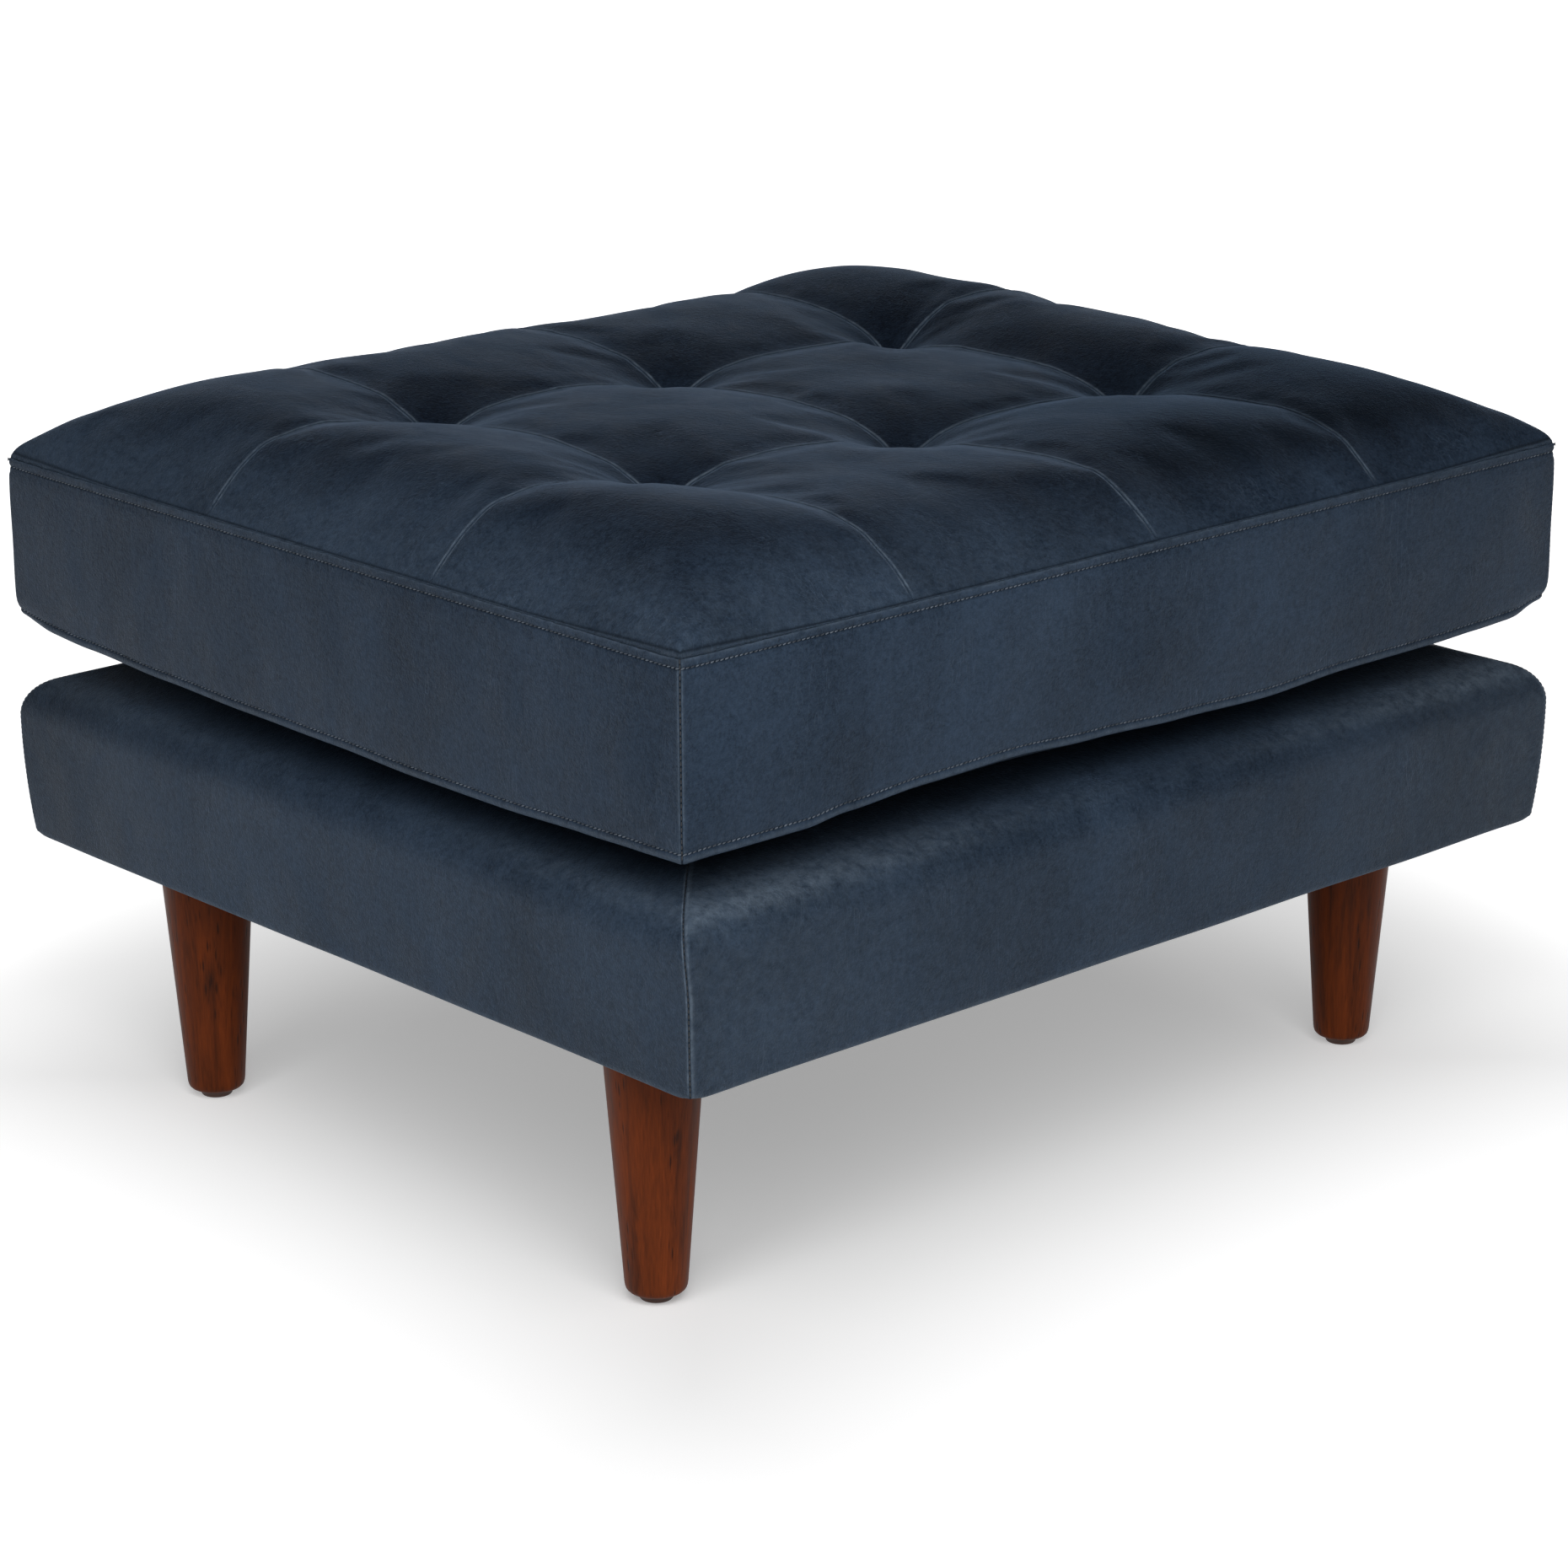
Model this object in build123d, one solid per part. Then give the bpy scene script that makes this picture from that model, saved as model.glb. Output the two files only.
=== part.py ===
from build123d import *
from math import asin, cos, degrees, isclose, radians, sin, sqrt
import os

os.makedirs("parts", exist_ok=True)

# Tufted leather footstool: a loose box cushion on an upholstered base with four turned legs.
# Sizes are in millimetres. X runs along the long side and -Y is the front. The origin is on
# the floor under the middle of the footstool.

# Overall sizes
base_width = 724.0
base_depth = 635.0
cushion_extra_width = 6.0
cushion_short_depth = 2.0
glide_height = 5.0
leg_length = 159.0
deck_height = 297.0
boxing_height = 112.0

# Skins and clearances
leather = 1.5
panel_thickness = 2.2
dust_cloth = 0.8
soft_gap = 0.3
puff_gap = 0.7
bore_gap = 0.1
twine_gap = 0.4
overrun = 40.0
pin_sides = 8
nut_sides = 6

# Base form: the side bows out to its widest line, rolls over and rises to a flat deck
side_bulge = 4.5
widest_drop = 52.2
roll_radius = 26.0
deck_slope_degrees = 20.0
side_padding = 10.0
under_turn = 30.0
deck_lip_depth = 90.0
deck_padding = 45.7

# Wooden frame
rail_thickness = 22.0
board_thickness = 23.0
board_width = 100.0
block_leg = 60.0
block_height_share = 0.819
stretcher_height_share = 0.706

# Dowels that join the rails
dowel_radius = 5.0
dowel_length = 60.0
dowel_height_shares = (0.26, 0.74)

# Webbing
strap_width = 50.0
strap_thickness = 1.4
strap_pitch = 150.0
strap_ramp = 24.0
strap_end_margin = 4.0
long_strap_count = 3
cross_strap_count = 4

# Legs, glides and their hardware
leg_inset_x = 61.0
leg_inset_y = 101.0
leg_top_radius = 27.0
leg_foot_radius = 17.0
leg_foot_edge = 2.0
bolt_radius = 4.0
bolt_depth = 42.0
bolt_past_nut = 3.0
nut_radius = 7.5
nut_height = 6.5
glide_flange_radius = 11.0
glide_flange = 2.0
glide_radius = 9.0
nail_radius = 1.3
nail_length = 20.0

# Cushion form: flat where it rests, turned up to the bottom seam, with a bowed boxing
bottom_turn_run = 40.0
bottom_turn_rise = 3.7
boxing_bulge = 4.0

# Cushion top: three tufts by two. Heights are above the top seam, and dips below the crest
tuft_pitch_x = 195.0
tuft_pitch_y = 212.0
crest_rise = 47.0
shoulder_run = 92.0
seam_dip = 9.0
tuft_dip = 22.0
edge_column_shares = (0.0, 0.06, 0.2, 0.6, 1.0)
edge_row_shares = (0.0, 0.05, 0.16, 0.42, 0.75, 1.0)
wrap_edge_row_shares = (0.0, 0.16, 0.42, 1.0)
middle_row_shares = (0.0, 0.25, 0.5, 0.75, 1.0)
middle_column_shares = (0.0, 0.5, 1.0)

# Cushion filling
wrap_side = 12.0
wrap_bottom = 6.0
wrap_skirt = 20.0
core_edge_height = 100.0
core_crown = 24.0
core_slope_run = 120.0
twine_radius = 1.5
tab_width = 24.0
tab_thickness = 2.5

# Zip in the underside of the cushion
zip_end_inset = 85.0
zip_inset = 60.0
zip_slot_width = 12.0
tape_width = 14.0
tape_thickness = 0.7
coil_width = 2.4
coil_height = 2.2
coil_spread = 1.8
stop_length = 4.0
stop_overhang = 0.4
slider_length = 11.0
slider_width = 9.6
slider_plate = 1.0
slider_neck = 1.2
slider_gap = 0.4
slider_flange = 0.8
slider_relief = 1.2

# Heights and places that follow from the sizes above
leg_top = glide_height + leg_length
base_bottom = leg_top + dust_cloth
frame_bottom = base_bottom + leather
rail_top = deck_height - deck_padding
strap_top = rail_top + 2 * strap_thickness
board_top = base_bottom + board_thickness
rail_height = rail_top - frame_bottom
block_height = (rail_top - board_top) * block_height_share
stretcher_top = frame_bottom + rail_height * stretcher_height_share
skin_depth = leather + soft_gap

widest_height = deck_height - widest_drop
widest_rise = widest_height - base_bottom
side_radius = (widest_rise**2 + side_bulge**2) / (2 * side_bulge)
roll_turn_degrees = 90 - deck_slope_degrees
roll_end_height = widest_height + roll_radius * sin(radians(roll_turn_degrees))
deck_radius = (deck_height - roll_end_height) / (1 - sin(radians(roll_turn_degrees)))

rail_half_width = base_width / 2 - skin_depth - side_padding
rail_half_depth = base_depth / 2 - skin_depth - side_padding
inner_half_width = rail_half_width - rail_thickness
inner_half_depth = rail_half_depth - rail_thickness

leg_x = base_width / 2 - leg_inset_x
leg_y = base_depth / 2 - leg_inset_y
leg_places = {
    "front_left": (-leg_x, -leg_y),
    "front_right": (leg_x, -leg_y),
    "back_left": (-leg_x, leg_y),
    "back_right": (leg_x, leg_y),
}

cushion_width = base_width + cushion_extra_width
cushion_depth = base_depth - cushion_short_depth
cushion_bottom = deck_height + soft_gap
bottom_seam = cushion_bottom + bottom_turn_rise
top_seam = bottom_seam + boxing_height
boxing_top = top_seam - panel_thickness
half_width = cushion_width / 2
half_depth = cushion_depth / 2
seams_x = (-half_width, -tuft_pitch_x, 0, tuft_pitch_x, half_width)
seams_y = (-half_depth, -tuft_pitch_y / 2, tuft_pitch_y / 2, half_depth)
tuft_places = [(x, y) for y in seams_y[1:-1] for x in seams_x[1:-1]]

zip_length = cushion_width - 2 * zip_end_inset
zip_y = half_depth - zip_inset
tape_bottom = cushion_bottom + leather
coil_bottom = tape_bottom - coil_height
core_bottom = cushion_bottom + skin_depth + wrap_bottom
twine_top = top_seam + crest_rise - tuft_dip - panel_thickness - soft_gap
tab_top = core_bottom - soft_gap
tab_bottom = tab_top - tab_thickness
slider_start = zip_length / 2 - stop_length - slider_length


def save(node, *pieces):
    """Write one node, as one solid or as a group of separate solids."""
    shape = pieces[0] if len(pieces) == 1 else Compound(children=list(pieces))
    export_step(shape, f"parts/{node}.step")


def block(x_low, x_high, y_low, y_high, z_low, z_high):
    """Box between two corners."""
    size = Box(x_high - x_low, y_high - y_low, z_high - z_low, align=(Align.MIN,) * 3)
    return Pos(x_low, y_low, z_low) * size


def middle_block(width, depth, z_low, z_high):
    """Box that is centred on the footstool."""
    return block(-width / 2, width / 2, -depth / 2, depth / 2, z_low, z_high)


def rod(x, y, z_low, z_high, radius):
    """Upright cylinder."""
    body = Cylinder(radius, z_high - z_low, align=(Align.CENTER, Align.CENTER, Align.MIN))
    return Pos(x, y, z_low) * body


def pin(x, y, z_low, z_high, radius, sides=pin_sides):
    """Upright prism. Small round things out of sight have a few flat sides."""
    outline = Pos(x, y, z_low) * RegularPolygon(radius, sides)
    return extrude(outline, z_high - z_low, dir=(0, 0, 1))


def mirrored_face(low_half, low, right_edges, high_half, high):
    """Face that is closed by a flat line below and above and is alike on both sides."""
    left_edges = [edge.mirror(Plane.YZ) for edge in right_edges]
    below = Line((-low_half, low), (low_half, low))
    above = Line((high_half, high), (-high_half, high))
    return Face(Wire([below, above] + right_edges + left_edges))


def crossed(outline, half_x, half_y, inset, *options):
    """Sewn form whose outline across is outline(half_x) and along is outline(half_y)."""
    across = extrude(Plane.XZ * outline(half_x, inset, *options), half_y + overrun, both=True)
    along = extrude(Plane.YZ * outline(half_y, inset, *options), half_x + overrun, both=True)
    return across & along


def side_cuts(half_x, half_y, z_low, z_high):
    """Four prisms that share the form at its corner seams, by side."""
    wide = half_x + overrun
    deep = half_y + overrun
    meet_y = half_x - half_y
    triangles = {
        "front": [(-wide, -deep), (wide, -deep), (0, meet_y)],
        "back": [(wide, deep), (-wide, deep), (0, -meet_y)],
        "left": [(-wide, deep), (-wide, -deep), (-meet_y, 0)],
        "right": [(wide, -deep), (wide, deep), (meet_y, 0)],
    }
    cuts = {}
    for side, corners in triangles.items():
        face = Pos(0, 0, z_low) * make_face(Polyline(*corners, close=True))
        cuts[side] = extrude(face, z_high - z_low, dir=(0, 0, 1))
    return cuts


# Base

def base_outline(half, inset):
    """Face across the base: flat underside, bowed side, rolled edge and crowned deck."""
    widest = half + side_bulge
    low = base_bottom + inset
    high = deck_height - inset
    side = side_radius - inset
    side_turn = degrees(asin((widest_height - low) / side))
    side_centre = (widest - side_radius, widest_height)
    low_half = side_centre[0] + side * cos(radians(side_turn))
    roll_centre = (widest - roll_radius, widest_height)
    deck_half = roll_centre[0] - (deck_radius - roll_radius) * cos(radians(roll_turn_degrees))
    deck_centre = (deck_half, deck_height - deck_radius)
    edges = [
        CenterArc(side_centre, side, -side_turn, side_turn),
        CenterArc(roll_centre, roll_radius - inset, 0, roll_turn_degrees),
        CenterArc(deck_centre, deck_radius - inset, roll_turn_degrees, deck_slope_degrees),
    ]
    return mirrored_face(low_half, low, edges, deck_half, high)


def base_form(inset):
    return crossed(base_outline, base_width / 2, base_depth / 2, inset)


def base_skins():
    """Four cover panels sewn at the corners, and the deck cloth inside their lip."""
    skin = base_form(0) - base_form(leather)
    open_width = base_width - 2 * deck_lip_depth
    open_depth = base_depth - 2 * deck_lip_depth
    under_width = base_width - 2 * under_turn
    under_depth = base_depth - 2 * under_turn
    deck_opening = middle_block(open_width, open_depth, rail_top, deck_height + overrun)
    under_opening = middle_block(under_width, under_depth, leg_top, rail_top)
    cover = skin - deck_opening - under_opening
    cuts = side_cuts(base_width / 2, base_depth / 2, leg_top, deck_height + overrun)
    for side, cut in cuts.items():
        save(f"cover_{side}", cover & cut)
    save("deck_cloth", skin & deck_opening)


def base_padding():
    """Foam under the deck, and the strips that pad the outside of the rails."""
    inner = base_form(skin_depth)
    above = middle_block(base_width + overrun, base_depth + overrun, strap_top, deck_height)
    save("deck_foam", inner & above)
    frame_box = middle_block(2 * rail_half_width, 2 * rail_half_depth, leg_top, strap_top)
    strips = inner - above - frame_box
    cuts = side_cuts(base_width / 2, base_depth / 2, leg_top, strap_top)
    for side, cut in cuts.items():
        save(f"padding_{side}", strips & cut)


# Frame

def dowel_places():
    """Places of the dowels in the front and back rails, as (x, z, side)."""
    side_rail_x = inner_half_width + rail_thickness / 2
    heights = [frame_bottom + rail_height * share for share in dowel_height_shares]
    places = [(x, z) for x in (-side_rail_x, side_rail_x) for z in heights]
    places.append((0, (frame_bottom + stretcher_top) / 2))
    return [(x, z, side) for side in (-1, 1) for x, z in places]


def dowel(x, z, side, gap=0):
    """Dowel from the outer face of the front (-1) or back (1) rail inwards."""
    plane = Plane((x, side * rail_half_depth, z), z_dir=(0, side, 0))
    outline = plane * RegularPolygon(dowel_radius + gap, pin_sides)
    return extrude(outline, dowel_length, dir=(0, -side, 0))


def wooden_frame():
    """Four rails, two leg boards, a centre stretcher and four corner blocks."""
    bores = [dowel(*place, gap=bore_gap) for place in dowel_places()]

    front = block(-rail_half_width, rail_half_width, -rail_half_depth, -inner_half_depth,
                  frame_bottom, rail_top)
    side = block(-rail_half_width, -inner_half_width, -inner_half_depth, inner_half_depth,
                 frame_bottom, rail_top)
    board = block(-inner_half_width, board_width - inner_half_width, -inner_half_depth,
                  inner_half_depth, base_bottom, board_top)
    for x, y in leg_places.values():
        board -= pin(x, y, base_bottom, board_top, bolt_radius + bore_gap)
    stretcher = block(-rail_thickness / 2, rail_thickness / 2, -inner_half_depth,
                      inner_half_depth, frame_bottom, stretcher_top)

    save("front_rail", front - bores)
    save("back_rail", front.mirror(Plane.XZ) - bores)
    save("left_rail", side - bores)
    save("right_rail", side.mirror(Plane.YZ) - bores)
    save("left_leg_board", board)
    save("right_leg_board", board.mirror(Plane.YZ))
    save("centre_stretcher", stretcher - bores)
    save("frame_dowels", *[dowel(*place) for place in dowel_places()])

    outline = Polyline((-inner_half_width, -inner_half_depth),
                       (block_leg - inner_half_width, -inner_half_depth),
                       (-inner_half_width, block_leg - inner_half_depth), close=True)
    corner = extrude(Pos(0, 0, board_top) * make_face(outline), block_height, dir=(0, 0, 1))
    left_pair = [corner, corner.mirror(Plane.XZ)]
    save("corner_blocks", *left_pair, *[piece.mirror(Plane.YZ) for piece in left_pair])


def strap_line(half_length, crossings, first_is_high):
    """Side view of one strap: flat on the rails, over and under the straps that it crosses."""
    highs = [first_is_high == (index % 2 == 0) for index in range(len(crossings))]
    half_flat = strap_width / 2
    points = [(-half_length, 0)]
    for place, high in zip(crossings, highs):
        if high:
            points += [
                (place - half_flat - strap_ramp, 0),
                (place - half_flat, strap_thickness),
                (place + half_flat, strap_thickness),
                (place + half_flat + strap_ramp, 0),
            ]
    points.append((half_length, 0))
    lower = [(place, rail_top + rise) for place, rise in points]
    upper = [(place, height + strap_thickness) for place, height in reversed(lower)]
    return make_face(Polyline(*lower, *upper, close=True))


def centred_places(count, pitch):
    return [(index - (count - 1) / 2) * pitch for index in range(count)]


def webbing():
    """Interlaced straps that carry the deck foam, fixed on top of the rails."""
    long_places = centred_places(long_strap_count, strap_pitch)
    cross_places = centred_places(cross_strap_count, strap_pitch)
    half_x = rail_half_width - strap_end_margin
    half_y = rail_half_depth - strap_end_margin
    long_pieces = []
    for index, y in enumerate(long_places):
        face = Pos(0, y, 0) * (Plane.XZ * strap_line(half_x, cross_places, index % 2 == 0))
        long_pieces.append(extrude(face, strap_width / 2, both=True))
    cross_pieces = []
    for index, x in enumerate(cross_places):
        face = Pos(x, 0, 0) * (Plane.YZ * strap_line(half_y, long_places, index % 2 == 1))
        cross_pieces.append(extrude(face, strap_width / 2, both=True))
    save("webbing_long", *long_pieces)
    save("webbing_cross", *cross_pieces)


def dust_cover():
    """Thin cloth under the frame, pierced by each leg bolt."""
    width = base_width - under_turn
    depth = base_depth - under_turn
    cloth = middle_block(width, depth, leg_top, base_bottom)
    for x, y in leg_places.values():
        cloth -= pin(x, y, leg_top, base_bottom, bolt_radius + bore_gap)
    save("dust_cover", cloth)


# Legs

def leg_bolt(x, y, gap=0):
    """Hanger bolt, half in the leg and half through the leg board and its nut."""
    return pin(x, y, leg_top - bolt_depth, board_top + nut_height + bolt_past_nut,
               bolt_radius + gap)


def glide_nail(x, y, gap=0):
    """Nail of a glide, driven into the foot of the leg."""
    return pin(x, y, glide_height, glide_height + nail_length, nail_radius + gap)


def leg(x, y):
    """Tapered leg with a broken edge at the foot, bored for its bolt and nail."""
    align = (Align.CENTER, Align.CENTER, Align.MIN)
    edge_top = glide_height + leg_foot_edge
    foot = Cone(leg_foot_radius - leg_foot_edge, leg_foot_radius, leg_foot_edge, align=align)
    shank = Cone(leg_foot_radius, leg_top_radius, leg_top - edge_top, align=align)
    body = Pos(x, y, glide_height) * foot + Pos(x, y, edge_top) * shank
    return body - leg_bolt(x, y, gap=bore_gap) - glide_nail(x, y, gap=bore_gap)


def glide(x, y):
    """Stepped glide under the foot of the leg."""
    step = glide_height - glide_flange
    return rod(x, y, 0, step, glide_radius) + rod(x, y, step, glide_height, glide_flange_radius)


def leg_nut(x, y):
    nut = pin(x, y, board_top, board_top + nut_height, nut_radius, nut_sides)
    return nut - leg_bolt(x, y, gap=bore_gap)


def legs():
    """Four legs with their glides, nails, bolts and nuts."""
    places = list(leg_places.values())
    save("front_legs", *[leg(x, y) for x, y in places if y < 0])
    save("back_legs", *[leg(x, y) for x, y in places if y > 0])
    save("leg_glides", *[glide(x, y) for x, y in places])
    save("glide_nails", *[glide_nail(x, y) for x, y in places])
    save("leg_bolts", *[leg_bolt(x, y) for x, y in places])
    save("leg_nuts", *[leg_nut(x, y) for x, y in places])


# Cushion

def cushion_outline(half, inset, high):
    """Face across the lower cushion, up to a flat top at the height high."""
    flat_half = half - bottom_turn_run
    turn_radius = (bottom_turn_run**2 + bottom_turn_rise**2) / (2 * bottom_turn_rise)
    turn = turn_radius - inset
    run = bottom_turn_run - inset
    corner_height = cushion_bottom + turn_radius - sqrt(turn**2 - run**2)
    end_turn = degrees(asin(run / turn))
    middle_height = (bottom_seam + top_seam) / 2
    edges = [
        CenterArc((flat_half, cushion_bottom + turn_radius), turn, -90, end_turn),
        ThreePointArc((half - inset, corner_height),
                      (half - inset + boxing_bulge, middle_height), (half - inset, high)),
    ]
    return mirrored_face(flat_half, cushion_bottom + inset, edges, half - inset, high)


def shoulder(distance):
    """Share of the full rise at a distance inside the top seam, on a quarter ellipse."""
    inside = min(distance / shoulder_run, 1)
    return sqrt(1 - (1 - inside)**2)


def hollow(place, seams):
    """Share of the dip: 1 on a seam between puffs and 0 from the middle of a puff outwards."""
    for index, (low, high) in enumerate(zip(seams, seams[1:])):
        if place <= high:
            break
    middle = (low + high) / 2
    outwards = (index == 0 and place < middle) or (index == len(seams) - 2 and place > middle)
    return 0 if outwards else ((place - middle) / (high - middle))**2


def rise(x, y):
    """Height of the cushion top above its seam: crowned, with creased seams and deep tufts."""
    across, along = hollow(x, seams_x), hollow(y, seams_y)
    tuft = across * along
    dip = seam_dip * (across + along - 2 * tuft) + tuft_dip * tuft
    return (crest_rise - dip) * shoulder(half_width - abs(x)) * shoulder(half_depth - abs(y))


def across_puffs(number, seams, edge_shares, middle_shares):
    """Places over one puff. Those of an outer puff start at the outer seam."""
    low, high = seams[number], seams[number + 1]
    if number == 0:
        return [low + (high - low) * share for share in edge_shares]
    if number == len(seams) - 2:
        return [high - (high - low) * share for share in edge_shares]
    return [low + (high - low) * share for share in middle_shares]


def puff_line(column, y, drop, inset=0):
    """Points over one puff at y, from its outer seam or its left seam.

    They are lowered by drop, and end at an inset from the outer seams.
    """
    x_limit, y_limit = half_width - inset, half_depth - inset
    points = []
    for x in across_puffs(column, seams_x, edge_column_shares, middle_column_shares):
        seen = (min(max(x, -x_limit), x_limit), min(max(y, -y_limit), y_limit))
        points.append((*seen, top_seam - drop + rise(x, y)))
    return points


def over_puff(column, y, drop):
    """Curves over one puff at y, from left to right: an arc, and lines on an outer shoulder."""
    points = puff_line(column, y, drop)
    start, middle, end = points[-3:]
    level = isclose(middle[2], start[2]) and isclose(middle[2], end[2])
    curves = [Line(*pair) for pair in zip(points, points[1:-2])]
    curves.append(Line(start, end) if level else ThreePointArc(start, middle, end))
    if column == len(seams_x) - 2:
        curves = [curve.reversed() for curve in curves[::-1]]
    return curves


def closed_below(curves, lower):
    """Face between curves that run along X and lower curves that run back."""
    start, end = curves[0] @ 0, curves[-1] @ 1
    low_end, low_start = lower[0] @ 0, lower[-1] @ 1
    return Face(Wire([*curves, Line(end, low_end), *lower, Line(low_start, start)]))


def top_panels():
    """Twelve leather panels in three rows, each crowned both ways and creased at its seams."""
    for row, name in enumerate(("front", "middle", "back")):
        panels = []
        for column in range(len(seams_x) - 1):
            sections = []
            for y in across_puffs(row, seams_y, edge_row_shares, middle_row_shares):
                upper = over_puff(column, y, 0)
                lower = over_puff(column, y, panel_thickness)
                sections.append(closed_below(upper, [edge.reversed() for edge in lower[::-1]]))
            panels.append(loft(sections, ruled=True))
        save(f"top_panels_{name}", *panels)


def puffed_filling():
    """Upper part of the fibre wrap, lofted row by row under the top panels."""
    skirt = boxing_top - wrap_skirt
    drop = panel_thickness + puff_gap
    rows = []
    for row in range(len(seams_y) - 1):
        sections = []
        for y in across_puffs(row, seams_y, wrap_edge_row_shares, middle_row_shares):
            points = []
            for column in range(len(seams_x) - 1):
                points += puff_line(column, y, drop, skin_depth)
            points = sorted(set(points))
            (low_x, seen_y, _), (high_x, _, _) = points[0], points[-1]
            points += [(high_x, seen_y, skirt), (low_x, seen_y, skirt)]
            sections.append(make_face(Polyline(*points, close=True)))
        rows.append(loft(sections, ruled=True))
    return rows[0] + rows[1:]


def core_outline(half, inset):
    """Face across the foam core: square sides, and slopes up to a flat middle."""
    edge = half - wrap_side - skin_depth - inset
    flat = edge - core_slope_run
    low = core_bottom + inset
    high = core_bottom + core_edge_height - inset
    corners = [(edge, low), (edge, high), (flat, high + core_crown)]
    corners += [(-x, z) for x, z in reversed(corners)]
    return make_face(Polyline(*corners, close=True))


def tuft_hardware(gap=0):
    """Twines that pull the tufts down, and the tabs under the core that hold them."""
    twines, tabs = [], []
    for x, y in tuft_places:
        twines.append(pin(x, y, tab_top, twine_top, twine_radius + gap))
        half = tab_width / 2 + gap
        tabs.append(block(x - half, x + half, y - half, y + half, tab_bottom - gap, tab_top + gap))
    return twines, tabs


def filling():
    """Fibre wrap with the foam core, the tuft twines and their tabs inside."""
    room_twines, room_tabs = tuft_hardware(twine_gap)
    core = crossed(core_outline, half_width, half_depth, 0)
    save("cushion_foam", core - room_twines)

    skirt = boxing_top - wrap_skirt
    lower = crossed(cushion_outline, half_width, half_depth, skin_depth, boxing_top)
    lower &= middle_block(cushion_width + overrun, cushion_depth + overrun, 0, skirt)
    wrap = lower + puffed_filling()
    wrap -= crossed(core_outline, half_width, half_depth, -soft_gap)
    wrap -= room_twines + room_tabs
    zip_room = slider_plate + slider_gap + slider_relief
    wrap -= block(-zip_length / 2 - tape_width, zip_length / 2 + tape_width,
                  zip_y - tape_width - coil_spread, zip_y + tape_width + coil_spread,
                  cushion_bottom, tape_bottom + tape_thickness + zip_room)
    save("fibre_wrap", wrap)

    twines, tabs = tuft_hardware()
    save("tuft_twines", *twines)
    save("tuft_tabs", *tabs)


def cushion_skins():
    """Boxing strips sewn at the corners, and the underside in two panels."""
    outer = crossed(cushion_outline, half_width, half_depth, 0, boxing_top)
    inner = crossed(cushion_outline, half_width, half_depth, leather, boxing_top + leather)
    skin = outer - inner
    boxing = skin & middle_block(cushion_width + overrun, cushion_depth + overrun,
                                 bottom_seam + leather, top_seam)
    cuts = side_cuts(half_width, half_depth, cushion_bottom, top_seam)
    for side, cut in cuts.items():
        save(f"boxing_{side}", boxing & cut)

    under = skin & middle_block(cushion_width + overrun, cushion_depth + overrun,
                                0, bottom_seam + leather)
    under -= block(-zip_length / 2, zip_length / 2, zip_y - zip_slot_width / 2,
                   zip_y + zip_slot_width / 2, 0, tape_bottom)
    main = block(-cushion_width, cushion_width, -cushion_depth, zip_y, 0, top_seam)
    save("bottom_panel", under & main)
    save("bottom_rear_panel", under - main)


def zip_closure():
    """Tapes, coil rows, end stops, and a slider that clasps both rows."""
    tape_top = tape_bottom + tape_thickness
    spread = coil_spread / 2
    tapes, rows = [], []
    for side in (-1, 1):
        y_near, y_far = zip_y + side * spread, zip_y + side * (spread + tape_width)
        tapes.append(block(-zip_length / 2 - tape_width / 2, zip_length / 2 + tape_width / 2,
                           min(y_near, y_far), max(y_near, y_far), tape_bottom, tape_top))
        y_far = zip_y + side * (spread + coil_width)
        rows.append(block(-zip_length / 2, zip_length / 2, min(y_near, y_far),
                          max(y_near, y_far), coil_bottom, tape_bottom))
    save("zip_tapes", *tapes)

    stops = []
    for side in (-1, 1):
        x_far = side * zip_length / 2
        x_near = x_far - side * stop_length
        reach = spread + coil_width + stop_overhang
        stop = block(min(x_near, x_far), max(x_near, x_far), zip_y - reach, zip_y + reach,
                     coil_bottom - stop_overhang, tape_bottom)
        stops.append(stop)
        rows = [row - stop for row in rows]
    save("zip_stops", *stops)
    save("zip_coils", *rows)

    x_low = -slider_start - slider_length
    x_high = -slider_start
    width = slider_width / 2
    plate_top = coil_bottom - slider_gap
    upper = tape_top + slider_gap
    slider = block(x_low, x_high, zip_y - width, zip_y + width, plate_top - slider_plate,
                   plate_top)
    slider += block(x_low, x_high, zip_y - width, zip_y + width, upper, upper + slider_plate)
    slider += block(x_low, x_high, zip_y - slider_neck / 2, zip_y + slider_neck / 2,
                    plate_top, upper)
    for side in (-1, 1):
        y_far = zip_y + side * width
        y_near = y_far - side * slider_flange
        slider += block(x_low, x_high, min(y_near, y_far), max(y_near, y_far), plate_top,
                        tape_bottom - slider_gap)
    save("zip_slider", slider)


base_skins()
base_padding()
wooden_frame()
webbing()
dust_cover()
legs()
top_panels()
filling()
cushion_skins()
zip_closure()
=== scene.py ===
import bmesh
import bpy
import numpy as np
from math import ceil, cos, pi, radians, sin, sqrt
from mathutils import Matrix, Vector


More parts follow.
